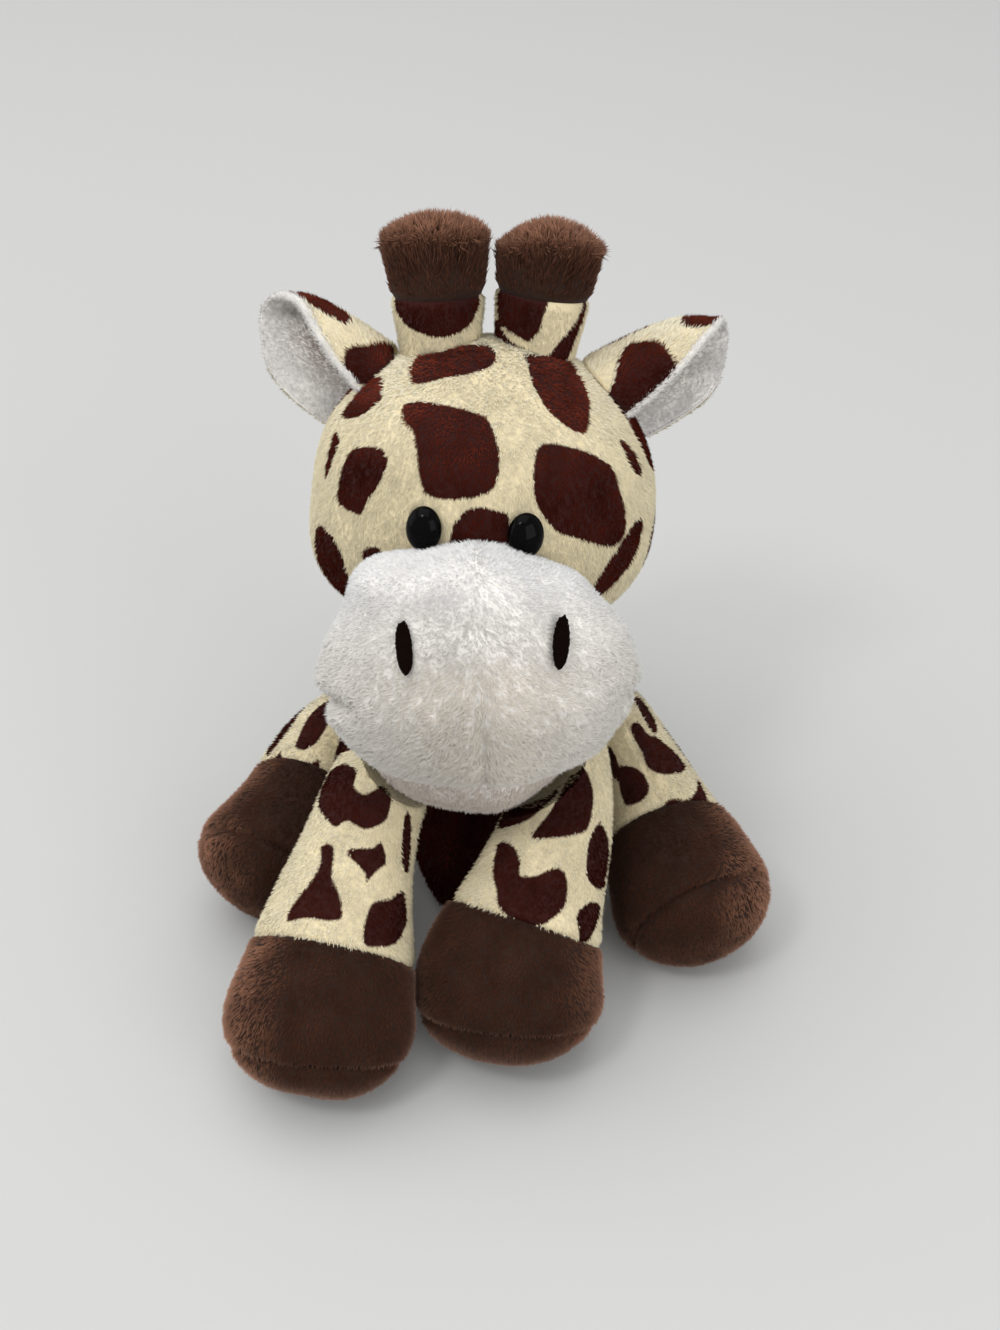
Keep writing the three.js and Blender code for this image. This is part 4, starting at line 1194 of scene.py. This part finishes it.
def edgeTaper(t, place):
    # 1 in the middle of the ear, falling to a third at its free edges
    length = np.minimum.reduce([place * 30, (1 - place) * 30, (1 - t) * ear["long"]])
    return 0.3 + 0.7 * np.clip(length / 4, 0, 1) ** 0.5


earPatches = {
    1: outlines("""
        94 20, 103 25, 117 27, 150 27, 172 24, 186 15, 180 8, 147 10, 128 14; 98 33, 44 35, 24 38, 30 43, 80 43,
        108 37; 40 12, 34 22, 46 30, 62 26, 60 14; -18 14, -30 24, -20 34, -2 32, 2 20; -70 10, -82 20, -74 30,
        -58 26, -54 14; 8 6, 4 14, 18 14, 22 7"""),
    -1: outlines("""
        148 18, 127 20, 106 17, 75 13, 80 8, 110 8, 135 9, 152 13, 158 16; 10 37, 55 38, 96 33, 98 24, 72 24, 46 29,
        20 34; 44 14, 36 24, 20 30, 8 26, 20 15; -10 12, -22 22, -14 32, 2 28, 0 18; -66 12, -80 22, -72 31, -56 27,
        -50 15"""),
}


def earSheet(side, inner, outer, rows=56, columns=72):
    # the outer face forwards and the inner face back, as one ring for each row, from where each column leaves
    # the head
    first = np.linspace(0, 0.7, 140)
    t, place = np.meshgrid(first, np.linspace(0, 1, columns), indexing="ij")
    low, high = earSpan(side, t)
    middle = earPoints(side, t, low + place * (high - low), np.zeros(t.shape)).reshape(-1, 3)
    within = (ratioIn(head, middle, 0.5) < 1).reshape(t.shape)
    start = first[np.where(within.any(0), len(first) - 1 - np.argmax(within[::-1], axis=0), 0)]
    start = np.convolve(np.pad(start, 4, mode="edge"), np.ones(9) / 9, mode="valid")
    run = np.sin(np.linspace(0, np.pi / 2, rows)) ** 0.9
    run, place = np.meshgrid(run, np.linspace(0, 1, columns), indexing="ij")
    t = start + (0.997 - start) * run
    low, high = earSpan(side, t)
    low = low + 3 * (outer > 0)
    angle = low + place * (high - low)
    thin = edgeTaper(t, place)
    faceOut = earPoints(side, t, angle, inner + (outer - inner) * thin)
    if outer < 0:
        # the lining is padded nearly flat, from its lower edge to the turn of the flap
        turnAt = np.maximum(high - 85, low + 20)
        run = np.clip((angle - low) / (turnAt - low), 0, 1)[..., None]
        start, end = earPoints(side, t, low, outer * thin), earPoints(side, t, turnAt, outer * thin)
        flat = start + (end - start) * run
        faceOut = faceOut + (flat - faceOut) * 0.85 * np.clip((1 - run) * 6, 0, 1)
    faceIn = earPoints(side, t, angle, np.full(t.shape, inner))
    ring = np.concatenate([faceOut, faceIn[:, ::-1]], 1)
    return t, angle, clearOf(ring, (hornForm(side), 2.4, (0.3, 0.7)), (head, 0.4))


def bendEar(piece, side):
    # the piece's place baked into its points; the ear's root and way along are found but not used
    root, along, _, _ = earAxes(side)
    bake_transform(piece)


for part, side in (("left_ear", 1), ("right_ear", -1)):
    alongEar = headTurn @ earAxes(side)[1]
    patches = earPatches[side]
    for layer, kind, inner, outer in (("back", "printed", 0.15, 1.2), ("lining", "white", -0.15, -1.2)):
        t, angle, ring = earSheet(side, inner, outer)
        points = ring.reshape(-1, 3)
        faces = outwardFaces(points, gridFaces(*ring.shape[:2], ends="sheet"))
        depth = patchDepth(np.hstack([angle, angle[:, ::-1]]), np.hstack([t, t[:, ::-1]]) * ear["long"],
                           patches if kind == "printed" else (), perDegree["ear"])
        slotName, material, _ = plush[kind]
        sheet = makePiece(f"{part}_{layer}_cover", points, faces, material, {"Print": depth.ravel()})
        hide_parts(f"{part}_{layer}")
        bendEar(sheet, side)

        columns = t.shape[1]
        face = ring[:, :columns]
        normal = unit(np.cross(np.gradient(face, axis=1), np.gradient(face, axis=0)))
        middle = earPoints(side, t, angle, np.zeros(t.shape))
        free = (t > 0.55) & (t < 0.9)
        normal = normal * np.sign(((face - middle) * normal)[free].sum())
        spots = scatter({"points": face, "normals": normal, "share": t, "height": t * ear["long"]}, 5.0, 41 + side)
        place = spots["angle"] / 360 * columns
        keep = place < columns - 1
        spots = kept(spots, keep)
        low, high = earSpan(side, spots["share"])
        spots["angle"] = low + place[keep] / (columns - 1) * (high - low)
        spots = kept(spots, ~hiddenBy(spots, [head], 0.8))
        if kind == "printed":
            # the ear's patches darker by 0.7: painted shade on the ear
            tint, look = printTintAndTopLight(None, patches, perDegree["ear"], 4, 0.7), {"length": 1.7, "mess": 0.25}
        else:
            # the lining's strands grey-brown across its middle and away from the tip, with darker roots: painted
            # shade inside the ear's fold, with some of the lining's own pinker tone
            deep = bell(spots["angle"], -5, 50) * ramp(-spots["share"], -0.97, 0.3)
            inside = linear(222, 219, 215) * (1 - deep[:, None]) + linear(172, 158, 148) * deep[:, None]
            tint, look = (inside * 0.85, inside), {"length": 1.9, "mess": 0.6}
        look = {"lift": 38, "width": 0.38, **look}
        bendEar(strandPiece(f"{part}_{layer}_pile", spots, alongEar, look, tint, kind, 43 + side), side)

    # the hem runs up one free edge and down the other
    run = 0.998 * (1 - np.linspace(1, 0, 60) ** 2)
    t = np.concatenate([run, run[::-1]])
    angle = np.concatenate([earSpan(side, run)[0], earSpan(side, run[::-1])[1]])
    edge = earPoints(side, t, angle, np.zeros(t.shape))
    edge = edge[ratioIn(head, edge, -0.8) > 1]
    for _ in range(3):
        edge[1:-1] = (edge[:-2] + 2 * edge[1:-1] + edge[2:]) / 4
    keep = np.concatenate([[True], np.linalg.norm(np.diff(edge, axis=0), axis=1) > 0.15])
    edge = edge[keep]
    free = np.linspace(0, 1, len(edge))
    hem = tubeGrid(edge, 0.25 + 0.75 * ramp(free, 0.45, 0.2), 12, headTurn @ np.array([0.1, -1.0, 0.2]))
    points, faces = joinedGrids([hem], [edge[[0, -1]]])
    piece = makePiece(f"{part}_hem", points, faces, whiteCloth, {"Print": np.full(len(points), -9.0)})
    bendEar(piece, side)
    zero = np.zeros(hem.shape[:2])
    share = zero + np.linspace(0, 1, len(zero))[:, None]
    spots = scatter({"points": hem, "normals": gridNormals(hem), "share": share, "height": zero}, 7, 45 + side)
    spots["grow"] = 0.6 + 0.4 * ramp(spots["share"], 0.35, 0.2)
    pile = strandPiece(f"{part}_hem_pile", spots, alongEar, {"length": 1.4, "lift": 45, "width": 0.36, "mess": 0.6},
                       (linear(205, 201, 196), linear(236, 233, 228)), "white", 47 + side)
    bendEar(pile, side)
print("ears made")


# Legs: a printed leg, a brown hoof and its sole, each sewn to the next along a groove


legParts = {
    "leg": {"kind": "printed", "nodes": ("skin", "stuffing"), "rows": 70, "rounded": (True, False), "pile": 1.5},
    "hoof": {"kind": "brown", "nodes": ("skin", "pellets"), "rows": 34, "rounded": (False, False), "pile": 1.7},
    "sole": {"kind": "brown", "nodes": ("sole",), "rows": 36, "rounded": (False, True), "pile": 1.7},
}
fullerAt = {"front_right": 0, "front_left": 180}  # the degrees where a front hoof meets its neighbour

for number, (leg, facts) in enumerate(legs.items()):
    form, hoofStart = facts["form"], facts["hoofStart"]
    length = form["length"]
    sole = 1 - 10 / length

    def legSculpt(grid):
        # grooves along the hoof's and the sole's seams and the leg's centre seam, and soft lumps
        share, angle = grid["share"], grid["angle"]
        dip = groove(share * length, hoofStart * length, 1.0, 0.7) + groove(share * length, sole * length, 0.8, 1.1)
        dip = dip + groove((angle - 264 + 180) % 360 - 180, 0, 3.0, 0.35) * (share < hoofStart)
        lumps = softNoise(grid["points"], 26, 7) * 0.45
        if leg in fullerAt:
            beside = np.clip(np.cos(np.radians(angle - fullerAt[leg])), 0, 1)
            lumps = lumps + beside**2 * ramp(share, 0.5, 0.2)
        points = grid["points"] + grid["normals"] * (dip + lumps)[..., None]
        return onFloor(clearOf(points, (torso, 0.5, (0.2, 0.9)), (head, 0.7), (chin, 3.8), (chinLow, 1.6)))

    def legFlow(spots):
        # the spine's slope at each strand
        return runAt(form, "slope", spots["share"] * length)

    # the printed leg stays in place, and the hoof and the sole go with the leg's body
    others = [torso, head, chin] + [f["form"] for n, f in legs.items() if n != leg]
    gap = 0.12 / length
    spans = {"leg": (0, hoofStart - gap), "hoof": (hoofStart + gap, sole - gap), "sole": (sole + gap, 1)}
    for label, part in legParts.items():
        grid = coverGrid(form, *spans[label], part["rows"], 150, legSculpt, part["rounded"])
        isPrint = label == "leg"
        patches = legPatches[leg] if isPrint else ()
        nodes = [f"{leg}_{'leg' if isPrint else 'hoof'}_{node}" for node in part["nodes"]]
        cover = coverPiece(f"{leg}_{label}_cover", grid, part["kind"], nodes, None, patches, perDegree["leg"])
        seed = 50 + len(label) + 10 * number
        spots = scatter(grid, 4.2, seed)
        spots = kept(spots, ~(hiddenBy(spots, others, 0.3) | (spots["points"][:, 2] < 0.4)))
        look = {"length": part["pile"], "lift": 42, "width": 0.38, "mess": 0.25, "wander": 0.25}
        tint = printTintAndTopLight(form, patches, perDegree["leg"], seed, 0.38) if isPrint else hoofTintAndRimLight
        pile = strandPiece(f"{leg}_{label}_pile", spots, legFlow, look, tint, part["kind"], seed + 1)
        for piece in (cover, pile):
            if isPrint:
                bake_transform(piece)
            else:
                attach(piece, f"{leg}_leg")
    print(leg, "leg made")


# Torso, tail and mane


def torsoSculpt(grid):
    # a seam down the back, soft lumps, and a belly that bulges forward between the front legs
    seam = groove(grid["angle"], 270, 3, 0.4)
    points = grid["points"] + grid["normals"] * (softNoise(grid["points"], 30, 8) * 0.4 + seam)[..., None]
    bulge = bell(points[..., 0], -10, 10) * bell(points[..., 2], 6, 17)
    points[..., 1] -= 25 * bulge * ramp(-points[..., 1], 0, 15)
    return onFloor(clearOf(points, (head, 0.7), (chin, 0.7), (chinLow, 0.7)))


torsoGrid = coverGrid(torso, 0, 1, 90, 130, torsoSculpt)
coverPiece("torso_cover", torsoGrid, "printed", ("torso_skin", "torso_stuffing", "seat_pellet_bag"), "torso",
           torsoPatches, perDegree["torso"])
torsoSpots = scatter(torsoGrid, 2.1, 17)
away = hiddenBy(torsoSpots, [f["form"] for f in legs.values()] + [head], -0.5) | (torsoSpots["points"][:, 2] < 0.6)
torsoSpots = kept(torsoSpots, ~away)
torsoPile = {"length": 2.2, "lift": 38, "width": 0.48, "mess": 0.22}
strandPiece("torso_pile", torsoSpots, downward, torsoPile,
            printTintAndTopLight(torso, torsoPatches, perDegree["torso"], 5), "printed", 29, "torso")
print("torso made", len(torsoSpots["points"]))

droop = np.radians(58)
tailAlong = np.array([0, np.cos(droop), -np.sin(droop)])
tailStart = runAt(torso, "line", 46.0) + np.array([0, 32 - 4, 0])
tailEnd = tailStart + tailAlong * 28
tailForm = softForm([tailStart, tailEnd], across=7, deep=7, shares=[1, 0.9, 0.8], rounds=(0.1, 0.1), inset=0.5)
tuftForm = softForm([tailEnd + tailAlong * 0.3, tailEnd + tailAlong * 18], across=12, deep=12,
                    shares=[0.5, 0.8, 1, 0.9], rounds=(0.2, 0.45), inset=1.0)
tailPatches = outlines("60 8, 120 6, 140 14, 80 16; 220 14, 290 12, 300 20, 230 22; 0 22, 60 20, 70 27, 10 29")


def tailSculpt(grid):
    # clear of the torso and the floor
    return onFloor(pushedOut(grid["points"], torso, 0.4, (0.1, 0.9)))


tailGrid = coverGrid(tailForm, 0, 1, 40, 40, tailSculpt)
coverPiece("tail_cover", tailGrid, "printed", ("tail",), "tail", tailPatches, perDegree["tail"])
tuftGrid = coverGrid(tuftForm, 0, 1, 30, 40, tailSculpt)
coverPiece("tail_tuft_cover", tuftGrid, "brown", ("tail_tuft",), "tail")
spots = scatter(tailGrid, 4, 18)
strandPiece("tail_pile", kept(spots, ~hiddenBy(spots, [torso], 0.5)), tailAlong,
            {"length": 1.8, "lift": 34, "width": 0.38},
            printTintAndTopLight(tailForm, tailPatches, perDegree["tail"], 6), "printed", 33, "tail")
strandPiece("tail_tuft_pile", scatter(tuftGrid, 5, 19), tailAlong,
            {"length": 4.5, "lift": 20, "width": 0.42, "mess": 0.3, "rings": 2, "sag": 0.05},
            (brownRoot, colour["brownTip"]), "brown", 34, "tail")


def maneGrid():
    # a rounded ridge over the ball's back, closed into a ring for each step
    t = np.linspace(0, 1, 60)
    lift = np.radians(38 - 68 * t)
    out = np.stack([np.zeros(60), np.cos(lift), np.sin(lift)], -1)
    ball = out * headBall
    swell = np.sin(np.pi * np.clip(t, 0.02, 0.98)) ** 0.5
    angle = np.linspace(0, 2 * np.pi, 24, endpoint=False)
    x = np.cos(angle)[None] * 2.2 * np.ones((60, 1))
    y = (np.sin(angle)[None] * 1.8 + 1.2) * swell[:, None]
    points = ball[:, None] + out[:, None] * y[..., None]
    points[..., 0] = x
    points = points @ headTurn.T + headPlace
    return pushedOut(points, head, 0.2), t, out @ headTurn.T


manePoints, maneT, maneOut = maneGrid()
fullMane = np.vstack([manePoints.reshape(-1, 3), manePoints[0].mean(0), manePoints[-1].mean(0)])
maneFaces = outwardFaces(fullMane, gridFaces(*manePoints.shape[:2]))
maneCover = makePiece("mane_cover", fullMane, maneFaces, brownCloth,
                      {"Print": np.zeros(len(fullMane)) - 9})
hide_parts("mane")
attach(maneCover, "head")
maneShare = np.tile(maneT[:, None], (1, 24))
maneData = {"points": manePoints, "normals": gridNormals(manePoints), "share": maneShare, "height": maneShare * 40}
spots = scatter(maneData, 7, 20)
spots = kept(spots, ~hiddenBy(spots, [head], 0.3))


def maneFlow(spots):
    # out of the head, and a little down
    back = np.stack([np.interp(spots["share"], maneT, c) for c in maneOut.T], -1)
    return back + np.array([0, 0, -0.4]) + unit(spots["normals"]) * 0.2


strandPiece("mane_pile", spots, maneFlow,
            {"length": 6.5, "lift": 58, "width": 0.46, "mess": 0.35, "rings": 2, "sag": 0.08, "tone": 0.12},
            (brownRoot, colour["brownTip"]), "brown", 35, "head")
print("tail and mane made")

# Carried-over nodes: the lock washers behind the eyes

washerMaterial = glossMaterial("washer_moulding", linear(225, 222, 214), linear(205, 202, 196), 0.4, 0.4)
for name in ("left_eye_washer", "right_eye_washer"):
    node = frame["nodes"][name]
    node.data.materials.clear()
    node.data.materials.append(washerMaterial)
